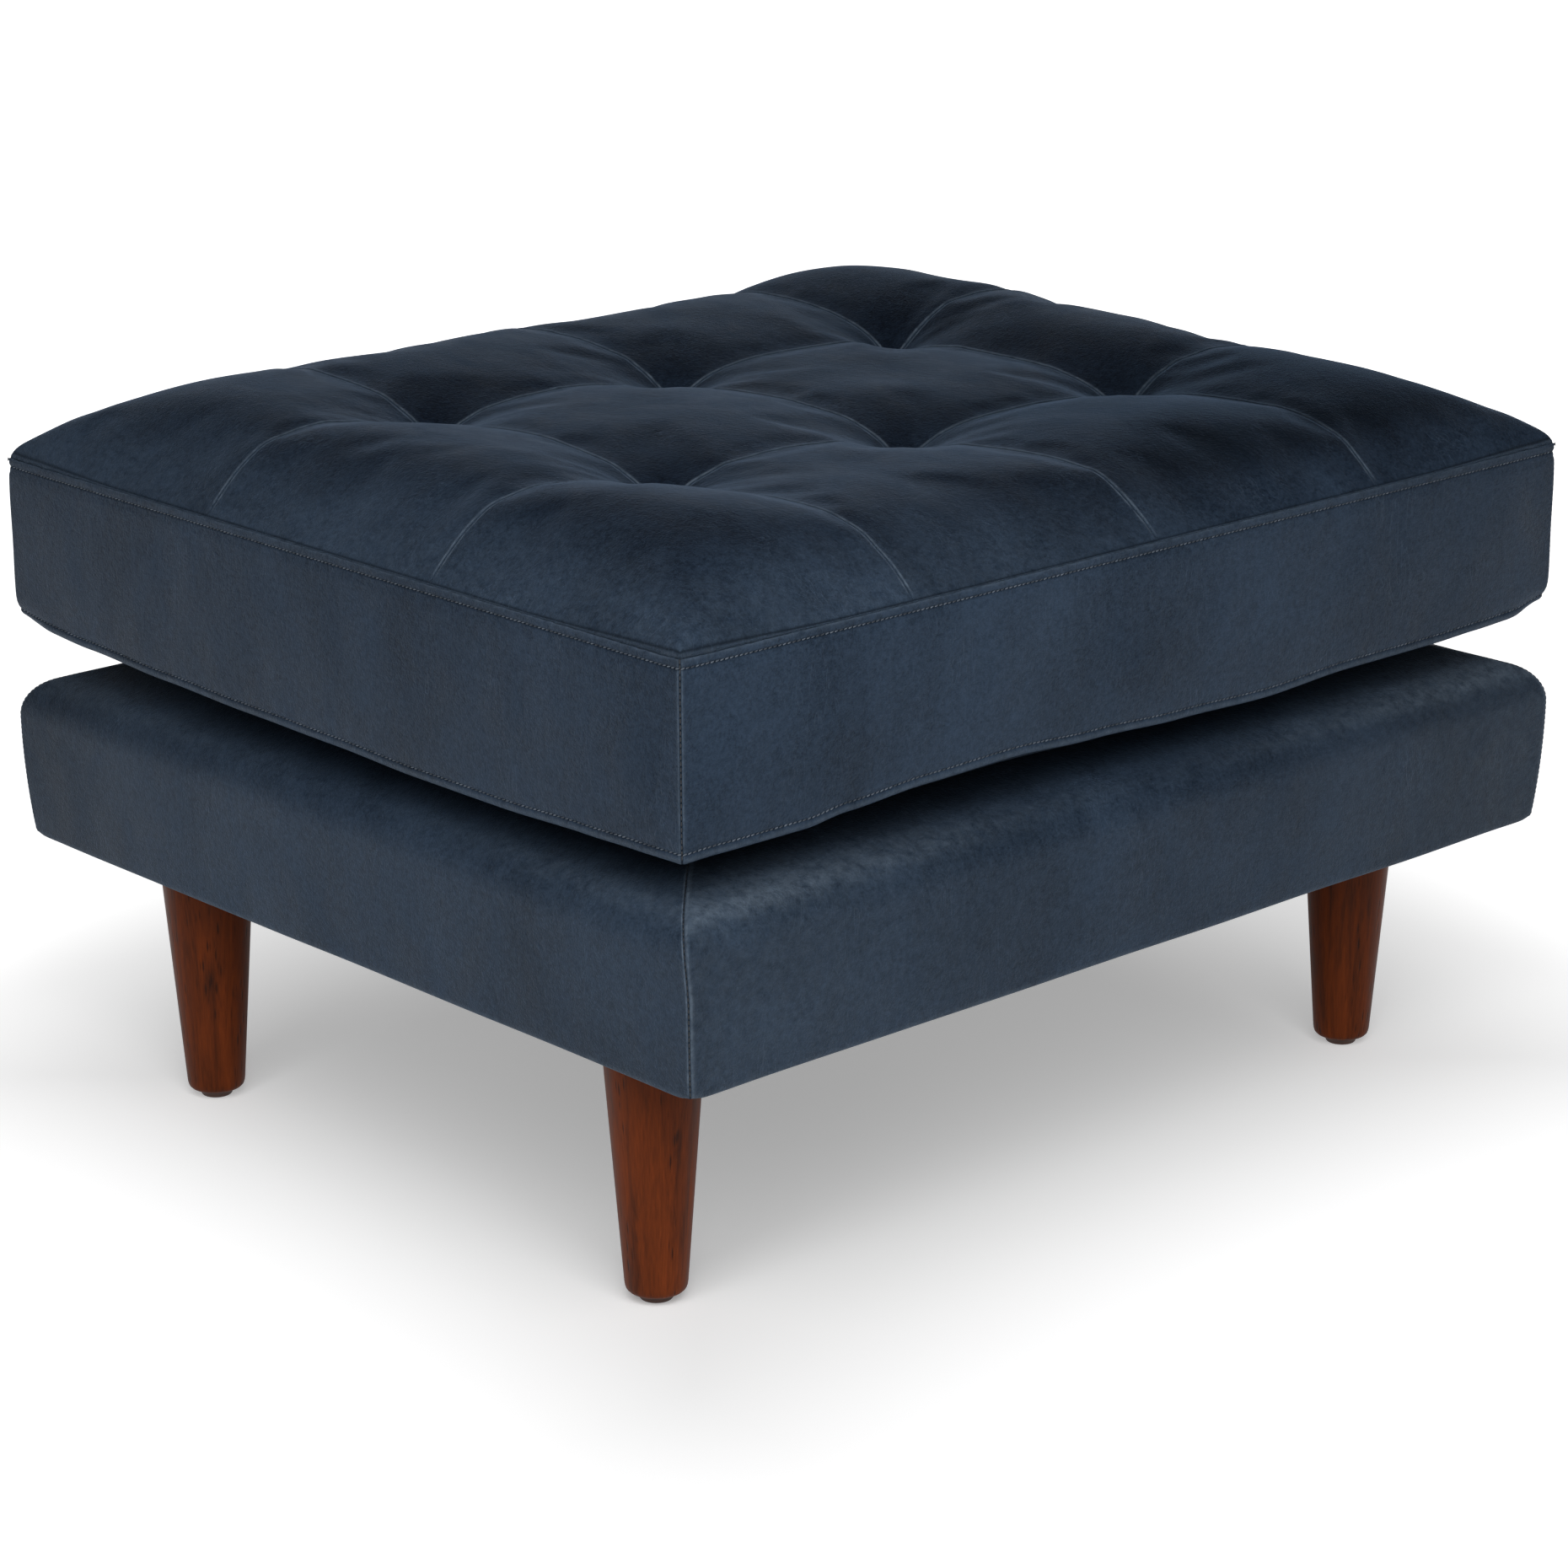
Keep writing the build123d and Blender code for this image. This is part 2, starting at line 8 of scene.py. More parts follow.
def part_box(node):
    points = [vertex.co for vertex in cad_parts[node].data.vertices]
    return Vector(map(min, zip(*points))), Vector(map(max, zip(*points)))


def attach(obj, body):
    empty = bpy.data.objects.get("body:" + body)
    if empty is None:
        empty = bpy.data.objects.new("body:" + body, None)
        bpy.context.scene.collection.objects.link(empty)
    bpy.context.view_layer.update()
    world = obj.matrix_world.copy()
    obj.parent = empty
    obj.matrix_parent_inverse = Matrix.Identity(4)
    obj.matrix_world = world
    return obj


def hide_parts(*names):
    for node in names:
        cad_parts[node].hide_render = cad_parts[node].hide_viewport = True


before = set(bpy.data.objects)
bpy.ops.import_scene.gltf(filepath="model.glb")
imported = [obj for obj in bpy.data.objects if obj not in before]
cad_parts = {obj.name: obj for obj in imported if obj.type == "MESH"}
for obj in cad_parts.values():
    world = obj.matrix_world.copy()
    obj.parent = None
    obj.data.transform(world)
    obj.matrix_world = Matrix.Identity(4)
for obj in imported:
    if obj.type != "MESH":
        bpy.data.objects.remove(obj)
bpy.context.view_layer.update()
scene = bpy.context.scene
MM = 0.001


# Camera, at the angle and distance of the photograph

AZIMUTH, ELEVATION, ROLL = radians(-42.5), radians(17.5), radians(-0.2)
TARGET, DISTANCE, LENS, SENSOR = Vector((-0.0708, -0.0750, 0.2263)), 2.606, 97.09, 36


def linked(name, data):
    made = bpy.data.objects.new(name, data)
    scene.collection.objects.link(made)
    return made


def aim(made, place, direction, roll=0.0):
    """Puts a camera or lamp at a place, and turns it to look along a direction."""
    made.location = place
    made.rotation_mode = "QUATERNION"
    turn = Matrix.Rotation(roll, 3, "Z").to_quaternion()
    made.rotation_quaternion = direction.to_track_quat("-Z", "Y") @ turn


def make_camera():
    back = Vector((sin(AZIMUTH) * cos(ELEVATION),
                   -cos(AZIMUTH) * cos(ELEVATION), sin(ELEVATION)))
    data = bpy.data.cameras.new("camera")
    data.lens, data.sensor_width = LENS, SENSOR
    data.clip_start, data.clip_end = 0.05, 60
    scene.camera = linked("camera", data)
    aim(scene.camera, TARGET + back * DISTANCE, -back, ROLL)


make_camera()


# Sizes of the model, in metres

HALF_W, HALF_D = 365 * MM, 316.5 * MM  # cushion at its seams
BASE_W, BASE_D = 362 * MM, 317.5 * MM  # base at its lower edge
TOP_SEAM, BOTTOM_SEAM = 413 * MM, 301 * MM
BOXING = TOP_SEAM - BOTTOM_SEAM
CUSHION_BOTTOM = 297.3 * MM
TUFT_X, TUFT_Y = 195 * MM, 106 * MM
SEAMS_X = (-HALF_W, -TUFT_X, 0, TUFT_X, HALF_W)
SEAMS_Y = (-HALF_D, -TUFT_Y, TUFT_Y, HALF_D)
TUFTS = [(x, y) for y in SEAMS_Y[1:-1] for x in SEAMS_X[1:-1]]
BASE_BOTTOM, DECK = 164.8 * MM, 297 * MM
LEG_TOP, GLIDE = 164 * MM, 5 * MM
LEGS = [(x * MM, y * MM) for y in (-216.5, 216.5) for x in (-301, 301)]
ZIP_Y, ZIP_HALF = 256.5 * MM, 280 * MM
WELD = 0.02 * MM  # points of adjoining patches that become one
CORNER_RUN = 45  # millimetres over which sides ease into a corner
# Each side: its number, the axis that runs along it, and the way that it faces
SIDES = {"front": (1, 0, -1), "right": (2, 1, 1), "back": (3, 0, 1), "left": (4, 1, -1)}


# Numbers and fields

def smooth(t):
    t = np.clip(t, 0, 1)
    return t * t * (3 - 2 * t)


def ramp(value, run, start=0):
    """Smooth rise from 0 at the start to 1 a run further on, both in millimetres."""
    return smooth((value - start * MM) / (run * MM))


def fall(value, run):
    """Smooth fall from 1 to 0 over a run in millimetres."""
    return smooth(1 - value / (run * MM))


def bell(value, width, middle=0):
    """1 at the middle and less on both sides of it, with both numbers in millimetres."""
    return np.exp(-((value - middle * MM) / (width * MM))**2)


def most(*fields):
    """The largest of several fields at each place."""
    return np.max(np.broadcast_arrays(*fields), axis=0)


def field(x, y, size, seed):
    """Smooth noise from -1 to 1 over a plane, from a seeded grid of values."""
    values = np.random.default_rng(seed).uniform(-1, 1, (64, 64))
    u, v = np.asarray(x) / size + 31.3, np.asarray(y) / size + 17.7
    i, j = np.floor(u).astype(int), np.floor(v).astype(int)
    s, t = smooth(u - i), smooth(v - j)
    low = values[i % 64, j % 64] * (1 - s) + values[(i + 1) % 64, j % 64] * s
    high = values[i % 64, (j + 1) % 64] * (1 - s) + values[(i + 1) % 64, (j + 1) % 64] * s
    return low * (1 - t) + high * t


def stations(seams, step, near_seam, near_edge):
    """Places along an axis: fine near each seam and edge, and a step apart between."""
    low, high = seams[0], seams[-1]
    marks = {low, high} | {low + d * MM for d in near_edge} | {high - d * MM for d in near_edge}
    marks |= {seam + way * d * MM for seam in seams[1:-1] for d in near_seam for way in (-1, 1)}
    marks = sorted(marks)
    places = [marks[0]]
    for a, b in zip(marks, marks[1:]):
        count = max(1, ceil((b - a) / step - 0.01)) if b - a > 1e-7 else 0
        places += [a + (b - a) * (i + 1) / count for i in range(count)]
    return np.array(places)


def even_grid(half_x, half_y, nx, ny):
    """Even grid over a rectangle, and how far each of its points lies inside the border."""
    x, y = np.meshgrid(np.linspace(-half_x, half_x, nx), np.linspace(-half_y, half_y, ny),
                       indexing="ij")
    return x, y, np.minimum(half_x - abs(x), half_y - abs(y))


def side_places(name, both):
    """The stations of a side, in the order that goes round the footstool."""
    number, axis, _ = SIDES[name]
    return both[axis][::1 if number < 3 else -1]


def placed(axis, along, out, z):
    """Coordinates in their order, from those along a side and out from it."""
    return (out, along, z) if axis else (along, out, z)


# Meshes

def mesh_object(name, points, faces, material, attributes=()):
    mesh = bpy.data.meshes.new(name)
    mesh.from_pydata([tuple(p) for p in points], [], faces)
    mesh.update()
    for key, values in dict(attributes).items():
        layer = mesh.attributes.new(key, "FLOAT", "POINT")
        layer.data.foreach_set("value", np.asarray(values, np.float32))
    mesh.polygons.foreach_set("use_smooth", [True] * len(mesh.polygons))
    if material is not None:
        mesh.materials.append(material)
    return linked(name, mesh)


def grid_faces(rows, columns, wrap=False, flip=False):
    faces = []
    for i in range(rows - 1):
        for j in range(columns if wrap else columns - 1):
            a, b = i * columns + j, i * columns + (j + 1) % columns
            face = (a, b, b + columns, a + columns)
            faces.append(face[::-1] if flip else face)
    return faces


def tube_faces(rows, sides):
    """Faces of a row of rings, closed at both ends."""
    first = tuple(range(sides))
    last = tuple((rows - 1) * sides + i for i in range(sides))
    return grid_faces(rows, sides, wrap=True) + [first[::-1], last]


class Build:
    """Collects patches of one mesh, with the same attributes on each."""

    def __init__(self, *names):
        self.points, self.faces, self.count = [], [], 0
        self.values = {name: [] for name in names or ("panel",)}

    def add(self, points, faces, **values):
        points = np.asarray(points, float)
        for name, kept in self.values.items():
            kept.append(np.broadcast_to(values.get(name, 0.0), points.shape[:-1]).ravel())
        self.points.append(points.reshape(-1, 3))
        self.faces += [tuple(self.count + i for i in face) for face in faces]
        self.count += len(self.points[-1])

    def grid(self, points, flip=False, **values):
        self.add(points, grid_faces(*points.shape[:2], flip=flip), **values)

    def finish(self, name, material, merge=0.0):
        made = mesh_object(name, np.concatenate(self.points), self.faces, material,
                           {k: np.concatenate(v) for k, v in self.values.items()})
        if merge:
            work = bmesh.new()
            work.from_mesh(made.data)
            bmesh.ops.remove_doubles(work, verts=work.verts, dist=merge)
            work.to_mesh(made.data)
            work.free()
        return made


def grid_mesh(name, points, material, flip=False):
    build = Build()
    build.grid(points, flip=flip)
    return build.finish(name, material)


def lathe(build, profile, x, y, sides, **values):
    """Round form about an upright axis, from (radius, height) pairs that run upwards."""
    turns = np.linspace(0, 2 * pi, sides, endpoint=False)
    points = [(x + r * cos(a), y + r * sin(a), z) for r, z in profile for a in turns]
    build.add(points, tube_faces(len(profile), sides), **values)


def capsules(build, places, directions, normal, length, radius):
    """A short rounded thread at each place, lying along its direction."""
    ring = [(cos(a), sin(a)) for a in np.linspace(0, 2 * pi, 6, endpoint=False)]
    shares = [(-0.5, 0.35), (-0.36, 0.9), (0, 1.0), (0.36, 0.9), (0.5, 0.35)]
    faces = tube_faces(len(shares), len(ring))
    for place, direction in zip(places, directions):
        d = np.asarray(direction) / np.linalg.norm(direction)
        n = np.asarray(normal) - d * np.dot(normal, d)
        n /= np.linalg.norm(n)
        s = np.cross(d, n)
        build.add([place + d * length * along + (n * c * 0.8 + s * e) * radius * wide
                   for along, wide in shares for c, e in ring], faces)


# Materials

class Nodes:
    """Short way to lay out the nodes of a material or of the world."""

    def __init__(self, name, owners=bpy.data.materials, shader="Principled BSDF"):
        self.owner = owners.new(name)
        self.owner.use_nodes = True
        self.tree = self.owner.node_tree
        self.shader = self.tree.nodes[shader]
        self.coordinates = self.add("TexCoord").outputs
        self.place = self.coordinates["Object"]

    def add(self, kind, inputs=(), **settings):
        node = self.tree.nodes.new("ShaderNode" + kind)
        for key, value in settings.items():
            setattr(node, key, value)
        for key, value in dict(inputs).items():
            self.set(node.inputs[key], value)
        return node

    def set(self, socket, value):
        if isinstance(value, bpy.types.NodeSocket):
            self.tree.links.new(value, socket)
        else:
            socket.default_value = (*value, 1) if socket.type == "RGBA" else value

    def attribute(self, name):
        return self.add("Attribute", attribute_name=name).outputs["Fac"]

    def apart(self):
        """The place, moved by the panel's number, so that panels differ."""
        panel = self.attribute("panel")
        shift = self.add("CombineXYZ", {"X": panel, "Y": panel, "Z": panel}).outputs[0]
        return self.vector("ADD", self.place, shift)

    def noise(self, vector, scale, detail=3.0, rough=0.5, distortion=0.0):
        return self.add("TexNoise", {
            "Vector": vector, "Scale": scale, "Detail": detail, "Roughness": rough,
            "Distortion": distortion}).outputs["Fac"]

    def voronoi(self, vector, scale):
        return self.add("TexVoronoi", {"Vector": vector, "Scale": scale},
                        feature="F1").outputs["Distance"]

    def math(self, operation, a, b=0.0, clamp=False):
        node = self.add("Math", operation=operation, use_clamp=clamp)
        self.set(node.inputs[0], a)
        self.set(node.inputs[1], b)
        return node.outputs[0]

    def plus(self, total, *others):
        for other in others:
            total = self.math("ADD", total, other)
        return total

    def times(self, a, b):
        return self.math("MULTIPLY", a, b)

    def vector(self, operation, a, b):
        node = self.add("VectorMath", operation=operation)
        self.set(node.inputs[0], a)
        self.set(node.inputs[1], b)
        return node.outputs[0]

    def span(self, value, low=0.3, high=0.7, to_low=0.0, to_high=1.0, **settings):
        return self.add("MapRange", {
            "Value": value, "From Min": low, "From Max": high, "To Min": to_low,
            "To Max": to_high}, **settings).outputs[0]

    def mix(self, share, a, b):
        node = self.add("Mix", data_type="RGBA")
        for key, value in (("Factor", share), ("A", a), ("B", b)):
            kind = "VALUE" if key == "Factor" else "RGBA"
            self.set([s for s in node.inputs if s.name == key and s.type == kind][0], value)
        return [s for s in node.outputs if s.type == "RGBA"][0]

    def bump(self, height, distance, strength, normal=None):
        node = self.add("Bump", {"Height": height, "Distance": distance,
                                           "Strength": strength})
        if normal is not None:
            self.set(node.inputs["Normal"], normal)
        return node.outputs[0]

    def out(self, **values):
        names = {
            "color": "Base Color", "rough": "Roughness", "normal": "Normal", "metal": "Metallic",
            "specular": "Specular IOR Level", "tint": "Specular Tint", "sheen": "Sheen Weight",
            "sheen_rough": "Sheen Roughness", "sheen_tint": "Sheen Tint",
            "glow": "Emission Color", "glow_strength": "Emission Strength"}
        for key, value in values.items():
            self.set(self.shader.inputs[names[key]], value)
        return self.owner


def leather(name, stretch, sheen=0.19, specular=0.14):
    """Waxed navy leather: near black on the top and paler on the sides and near edges, partly its
    own tone and partly painted light; the dark attribute paints shade.
    """
    n = Nodes(name)
    place = n.apart()
    wear, dark, pale = n.attribute("wear"), n.attribute("dark"), n.attribute("pale")
    long = n.vector("MULTIPLY", place, stretch)
    clouds = n.noise(long, 8, 4, 0.55, 0.5)
    patches = n.noise(long, 36, 5, 0.62, 0.6)
    specks = n.noise(place, 260, 4, 0.75)
    grain = n.noise(place, 640, 3, 0.8)
    tone = n.plus(n.span(clouds, 0.32, 0.68, -0.5, 0.5), n.span(patches, 0.3, 0.7, -0.42, 0.42),
                  n.span(specks, 0.3, 0.7, -0.75, 0.75), n.span(grain, 0.3, 0.7, -0.8, 0.8))
    share = n.span(tone, -1.1, 1.1)
    deep = n.mix(share, (0.001, 0.0013, 0.0036), (0.0088, 0.0148, 0.0262))
    light = n.mix(share, (0.0055, 0.0115, 0.0225), (0.03, 0.0482, 0.079))
    # pale mixes the near black tone to the paler one: partly the leather's own tone, partly
    # painted light
    color = n.mix(n.times(pale, n.span(clouds, 0.3, 0.6, 0.75, 1.0)), deep, light)
    # scratches: thin light lines in patches
    lines = n.noise(n.vector("MULTIPLY", place, (1, 1, 0.3)), 60, 2, 0.5, 2.5)
    thin = n.math("ABSOLUTE", n.math("SUBTRACT", lines, 0.5))
    scratch = n.times(n.span(thin, 0.0, 0.012, 1, 0), n.span(n.noise(place, 21, 2), 0.5, 0.68))
    color = n.mix(n.times(scratch, 0.3), color, (0.06, 0.08, 0.11))
    # rubbed pale leather, with painted light in places
    rubbed_and_lit = n.times(wear, n.span(n.noise(place, 150, 4, 0.7), 0.3, 0.66, 0.2, 1))
    color = n.mix(n.times(rubbed_and_lit, 0.75), color, (0.13, 0.168, 0.215))
    # painted shade: the dark attribute mixes towards near black
    color = n.mix(dark, color, (0.0006, 0.001, 0.002))
    height = n.plus(n.times(n.voronoi(place, 900), 0.5), n.times(specks, 1.6),
                    n.times(grain, 0.9), n.times(scratch, -0.35))
    normal = n.bump(n.noise(long, 55, 3, 0.5), 0.0012, 0.3, n.bump(height, 0.0004, 0.9))
    rough = n.plus(n.span(patches, 0.3, 0.7, 0.44, 0.58), n.times(wear, 0.08), n.times(dark, 0.3))
    return n.out(color=color, rough=rough, normal=normal, specular=specular, tint=(0.5, 0.75, 1),
                 sheen=sheen, sheen_rough=0.3, sheen_tint=(0.4, 0.62, 0.97))


def walnut(name):
    """Stained wood, with upright grain, and short dark pores along it."""
    n = Nodes(name)
    place = n.apart()
    long = n.vector("MULTIPLY", place, (1.0, 1.0, 0.055))
    bands = n.noise(long, 130, 4, 0.6, 0.8)
    fine = n.noise(long, 900, 3, 0.6)
    color = n.mix(n.span(n.plus(n.times(bands, 0.7), n.times(fine, 0.3))),
                  (0.038, 0.0082, 0.0018), (0.192, 0.038, 0.0068))
    pores = n.voronoi(n.vector("MULTIPLY", place, (1, 1, 0.12)), 430)
    pore = n.times(n.span(pores, 0.14, 0.34, 1, 0), n.span(n.noise(long, 90, 2), 0.46, 0.58))
    color = n.mix(n.times(pore, 0.85), color, (0.018, 0.005, 0.002))
    height = n.math("SUBTRACT", n.times(fine, 0.35), pore)
    return n.out(color=color, rough=n.span(bands, 0.3, 0.7, 0.42, 0.55), specular=0.11,
                 normal=n.bump(height, 0.0003, 0.5))


def woven(name, low, high, pitch):
    """Plain weave: two sets of threads that cross."""
    n = Nodes(name)
    parts = n.add("SeparateXYZ", {"Vector": n.place})
    waves = [n.math("ABSOLUTE", n.math("SINE", n.times(parts.outputs[axis], 2 * pi / pitch)))
             for axis in "XY"]
    height = n.math("MAXIMUM", *waves)
    color = n.mix(n.span(n.noise(n.place, 90, 4)), low, high)
    # painted shade in the gaps where the threads sink
    color = n.mix(n.span(height, 0.4, 1.0, 0.5, 0), color, (0, 0, 0))
    return n.out(color=color, rough=0.85, normal=n.bump(height, pitch * 0.25, 0.6),
                 specular=0.2, sheen=0.15)


def mottled(name, low, high, tones, marks, rough, height, stretch=(1, 1, 1), reach=(0.3, 0.7),
            **more):
    """Two tones in clouds, and finer marks that change the roughness and the height."""
    n = Nodes(name)
    place = n.vector("MULTIPLY", n.place, stretch)
    fine = n.noise(place, *marks)
    return n.out(color=n.mix(n.span(n.noise(place, *tones), *reach), low, high),
                 rough=n.span(fine, 0.3, 0.7, *rough), normal=n.bump(fine, *height), **more)


WOOD = {"low": (0.36, 0.23, 0.12), "high": (0.6, 0.43, 0.26), "tones": (60, 4, 0.6, 1.2),
        "marks": (600, 2), "rough": (0.55, 0.75), "height": (0.0003, 0.4)}
METAL = {"tones": (300, 3), "marks": (300, 3), "height": (0.0001, 0.3),
         "stretch": (1, 1, 6), "metal": 1.0}
MOULDED = {"tones": (120, 3), "marks": (900, 3), "height": (0.0001, 0.4)}
THREAD = {"tones": (160, 2), "marks": (1500, 2), "rough": (0.4, 0.6),
          "height": (0.0002, 0.5), "reach": (0.38, 0.62)}
top_leather = leather("leather_top", (1.0, 0.62, 1.0))
side_leather = leather("leather_side", (1.0, 1.0, 0.6))
# a copy of the leather with little sheen and gloss, as painted shade on the top of the base under
# the cushion
deck_leather = leather("leather_deck", (1.0, 1.0, 0.6), sheen=0.03, specular=0.08)
leg_wood = walnut("leg_wood")
thread_edge = mottled("thread_edge", (0.02, 0.028, 0.04), (0.11, 0.135, 0.17), **THREAD)
thread_corner = mottled("thread_corner", (0.002, 0.003, 0.005), (0.008, 0.01, 0.015), **THREAD)
glide_plastic = mottled("glide_plastic", (0.05, 0.017, 0.009), (0.075, 0.026, 0.013),
                        rough=(0.43, 0.58), **MOULDED)
deck_weave = woven("deck_weave", (0.0025, 0.004, 0.0075), (0.005, 0.0075, 0.0135), 0.0011)
dust_weave = woven("dust_weave", (0.012, 0.012, 0.014), (0.022, 0.022, 0.025), 0.0014)
zip_weave = woven("zip_weave", (0.01, 0.014, 0.022), (0.018, 0.024, 0.034), 0.0009)
coil_plastic = mottled("coil_plastic", (0.01, 0.014, 0.022), (0.02, 0.027, 0.04),
                       rough=(0.33, 0.48), **MOULDED)
zip_metal = mottled("zip_metal", (0.2, 0.16, 0.1), (0.36, 0.29, 0.17), rough=(0.3, 0.45), **METAL)
steel = mottled("steel", (0.35, 0.35, 0.36), (0.62, 0.62, 0.64), rough=(0.25, 0.42), **METAL)
webbing = woven("webbing", (0.3, 0.25, 0.16), (0.5, 0.43, 0.3), 0.0024)
twine = mottled("twine", (0.35, 0.3, 0.2), (0.6, 0.53, 0.4), **THREAD)
frame_x = mottled("frame_wood_x", stretch=(0.06, 1, 1), **WOOD)
frame_y = mottled("frame_wood_y", stretch=(1, 0.06, 1), **WOOD)
NODE_MATERIALS = {node: material for material, nodes in (
    (steel, ("glide_nails", "leg_bolts", "leg_nuts")), (zip_weave, ("zip_tapes",)),
    (frame_x, ("front_rail", "back_rail", "corner_blocks")),
    (frame_y, ("left_rail", "right_rail", "left_leg_board", "right_leg_board",
               "centre_stretcher", "frame_dowels")),
    (webbing, ("webbing_long", "webbing_cross", "tuft_tabs")),
    (zip_metal, ("zip_stops", "zip_slider"))) for node in nodes}


# Cushion top, from the heights that its seams have in the photograph

# Rise of the puffs' middles above the top seam, in rows from the front
PUFF_X, PUFF_Y = (-280, -97.5, 97.5, 280), (-211, 0, 211)
PUFFS = ((51.2, 38.3, 42.2, 46.7), (50.3, 43.6, 38, 52.4), (50.9, 49, 46.6, 54.1))
# Depth of each seam below them: those along Y from the left, then those along X from the front
DEEP_Y = ((4.6, 4.1, 3.1), (2.7, 3, 2.8), (6.6, 10.2, 7.6))
DEEP_X = ((5, 1.8, 6, 4.7), (4.3, 5, 4.4, 1.5))
VALLEY, DRAWN = 40, 36  # widths of seams' valleys, and of their ends
TUFT_DEPTH, TUFT_REACH, TUFT_ROUND = 23.8 * MM, 31.3 * MM, 4 * MM
PUFF_RUN, SEAM_RUN = 125 * MM, 96.6 * MM


def between(place, places, values):
    """Smooth steps between values at places, in millimetres, and level beyond them."""
    made = np.zeros(np.shape(place)) + values[0]
    for low, high, a, b in zip(places, places[1:], values, values[1:]):
        made = made + (b - a) * ramp(place, high - low, low)
    return made


def soft_rise(distance, run, power):
    """Share of the full rise at a distance inside the top seam, from a slope at the seam."""
    return 1 - (1 - np.clip(distance / run, 0, 1))**power


def shoulders(across, along, place, seams):
    """Rise from an edge: full over the puffs, round at the corners, drawn in at seam ends."""
    drawn = np.max([bell(place - seam, DRAWN) for seam in seams[1:-1]], axis=0)
    corner = 1 - smooth(along / PUFF_RUN)
    arc = soft_rise(across, PUFF_RUN, 2)**0.6
    full = corner * arc + (1 - corner) * soft_rise(across, PUFF_RUN, 3)
    return (1 - drawn) * full + drawn * soft_rise(across, SEAM_RUN, 2.6)


def crown(x, y):
    """Height of the cushion top above its seam: puffs, shallow valleys and tuft hollows."""
    rows = [between(x, PUFF_X, row) for row in PUFFS]
    t = [ramp(y, b - a, a) for a, b in zip(PUFF_Y, PUFF_Y[1:])]
    rise = rows[0] + (rows[1] - rows[0]) * t[0] + (rows[2] - rows[1]) * t[1]
    valleys = np.zeros_like(x)
    for along, across, seams, places, deep in ((y, x, SEAMS_X, PUFF_Y, DEEP_Y),
                                               (x, y, SEAMS_Y, PUFF_X, DEEP_X)):
        for seam, depths in zip(seams[1:-1], deep):
            valley = between(along, places, depths) * bell(across - seam, VALLEY)
            valleys = np.maximum(valleys, valley)
    z = (rise - valleys) * MM
    for tx, ty in TUFTS:
        r = np.sqrt((x - tx)**2 + (y - ty)**2 + TUFT_ROUND**2)
        z = z - TUFT_DEPTH * np.exp(-(r - TUFT_ROUND) / TUFT_REACH)
    wide, deep = HALF_W - abs(x), HALF_D - abs(y)
    a, b = shoulders(wide, deep, y, SEAMS_Y), shoulders(deep, wide, x, SEAMS_X)
    # both shares where full, and a straight rise from the corner where both are small
    return z * a * b / (a**3 + b**3 - (a * b)**3 + 1e-9)**(1 / 3)


def inset(x, y):
    return np.minimum(HALF_W - abs(x), HALF_D - abs(y))


def seam_distance(x, y):
    return np.min([abs(place - seam) for place, seams in ((x, SEAMS_X), (y, SEAMS_Y))
                   for seam in seams[1:-1]], axis=0)


def tuft_distance(x, y):
    return np.min([np.hypot(x - tx, y - ty) for tx, ty in TUFTS], axis=0)


# Creases from single tufts, as (tuft, angle in degrees, strength and length in millimetres)
CREASES = (
    (2, 24, 1.1, 110), (2, 38, 1.3, 130), (2, 52, 1.0, 100), (5, -35, 1.0, 90),
    (5, 10, 1.0, 100), (5, 40, 0.8, 90), (0, 155, 1.2, 90), (0, 172, 0.7, 80),
    (3, 160, 1.0, 90), (3, 140, 0.8, 80), (1, 25, 0.8, 80), (1, -20, 0.7, 70),
    (4, 150, 0.8, 80), (4, 30, 0.7, 70), (0, -60, 0.7, 70), (1, -110, 0.6, 70))
CREASE_HEIGHT, FOLD_HEIGHT, FOLD_COUNTS = 0.55, 0.09 * MM, (5, 8, 11, 15)


def sewn_detail(x, y):
    """Sewn lines and folds pulled from the tufts, in metres above the crown."""
    edge = inset(x, y)
    tuft = tuft_distance(x, y)
    z = np.zeros_like(x)
    for place, seams in ((x, SEAMS_X), (y, SEAMS_Y)):
        side = np.array([place - seam for seam in seams[1:-1]])
        near = np.take_along_axis(side, np.argmin(abs(side), axis=0)[None], axis=0)[0]
        pull = 0.5 + 1.1 * bell(tuft, 42)
        z -= pull * np.exp(-abs(near) / (6 * MM)) * ramp(edge, 20) * MM
        # the groove of the seam, and the leather folded under on both sides of it
        z -= 0.35 * bell(near, 0.6) * MM
        z += (0.4 * bell(near, 0.8, 1.5) + 0.1 * bell(near, 0.9, -1.7)) * MM
    for index, (tx, ty) in enumerate(TUFTS):
        r, turn = np.hypot(x - tx, y - ty), np.arctan2(y - ty, x - tx)
        rng = np.random.default_rng(40 + index)
        folds = np.zeros_like(x)
        for count in FOLD_COUNTS:
            folds += rng.uniform(0.4, 1.0) * np.cos(count * turn + rng.uniform(0, 6.3))
        z += FOLD_HEIGHT * folds * (ramp(r, 16, 7) * bell(r, 62))
    for index, angle, gain, length in CREASES:
        tx, ty = TUFTS[index]
        a = radians(angle)
        along = (x - tx) * cos(a) + (y - ty) * sin(a)
        across = (y - ty) * cos(a) - (x - tx) * sin(a)
        wide = 3.5 * MM + 0.05 * np.abs(along)
        ridge = np.exp(-(across / wide)**2) - 0.6 * np.exp(-((across - 1.7 * wide) / wide)**2)
        z += CREASE_HEIGHT * gain * MM * ridge * ramp(along, 25) * bell(along, length)
    z += (1.1 * field(x, y, 80 * MM, 1) + 0.4 * field(x, y, 31 * MM, 2)) * MM * ramp(edge, 30)
    return z


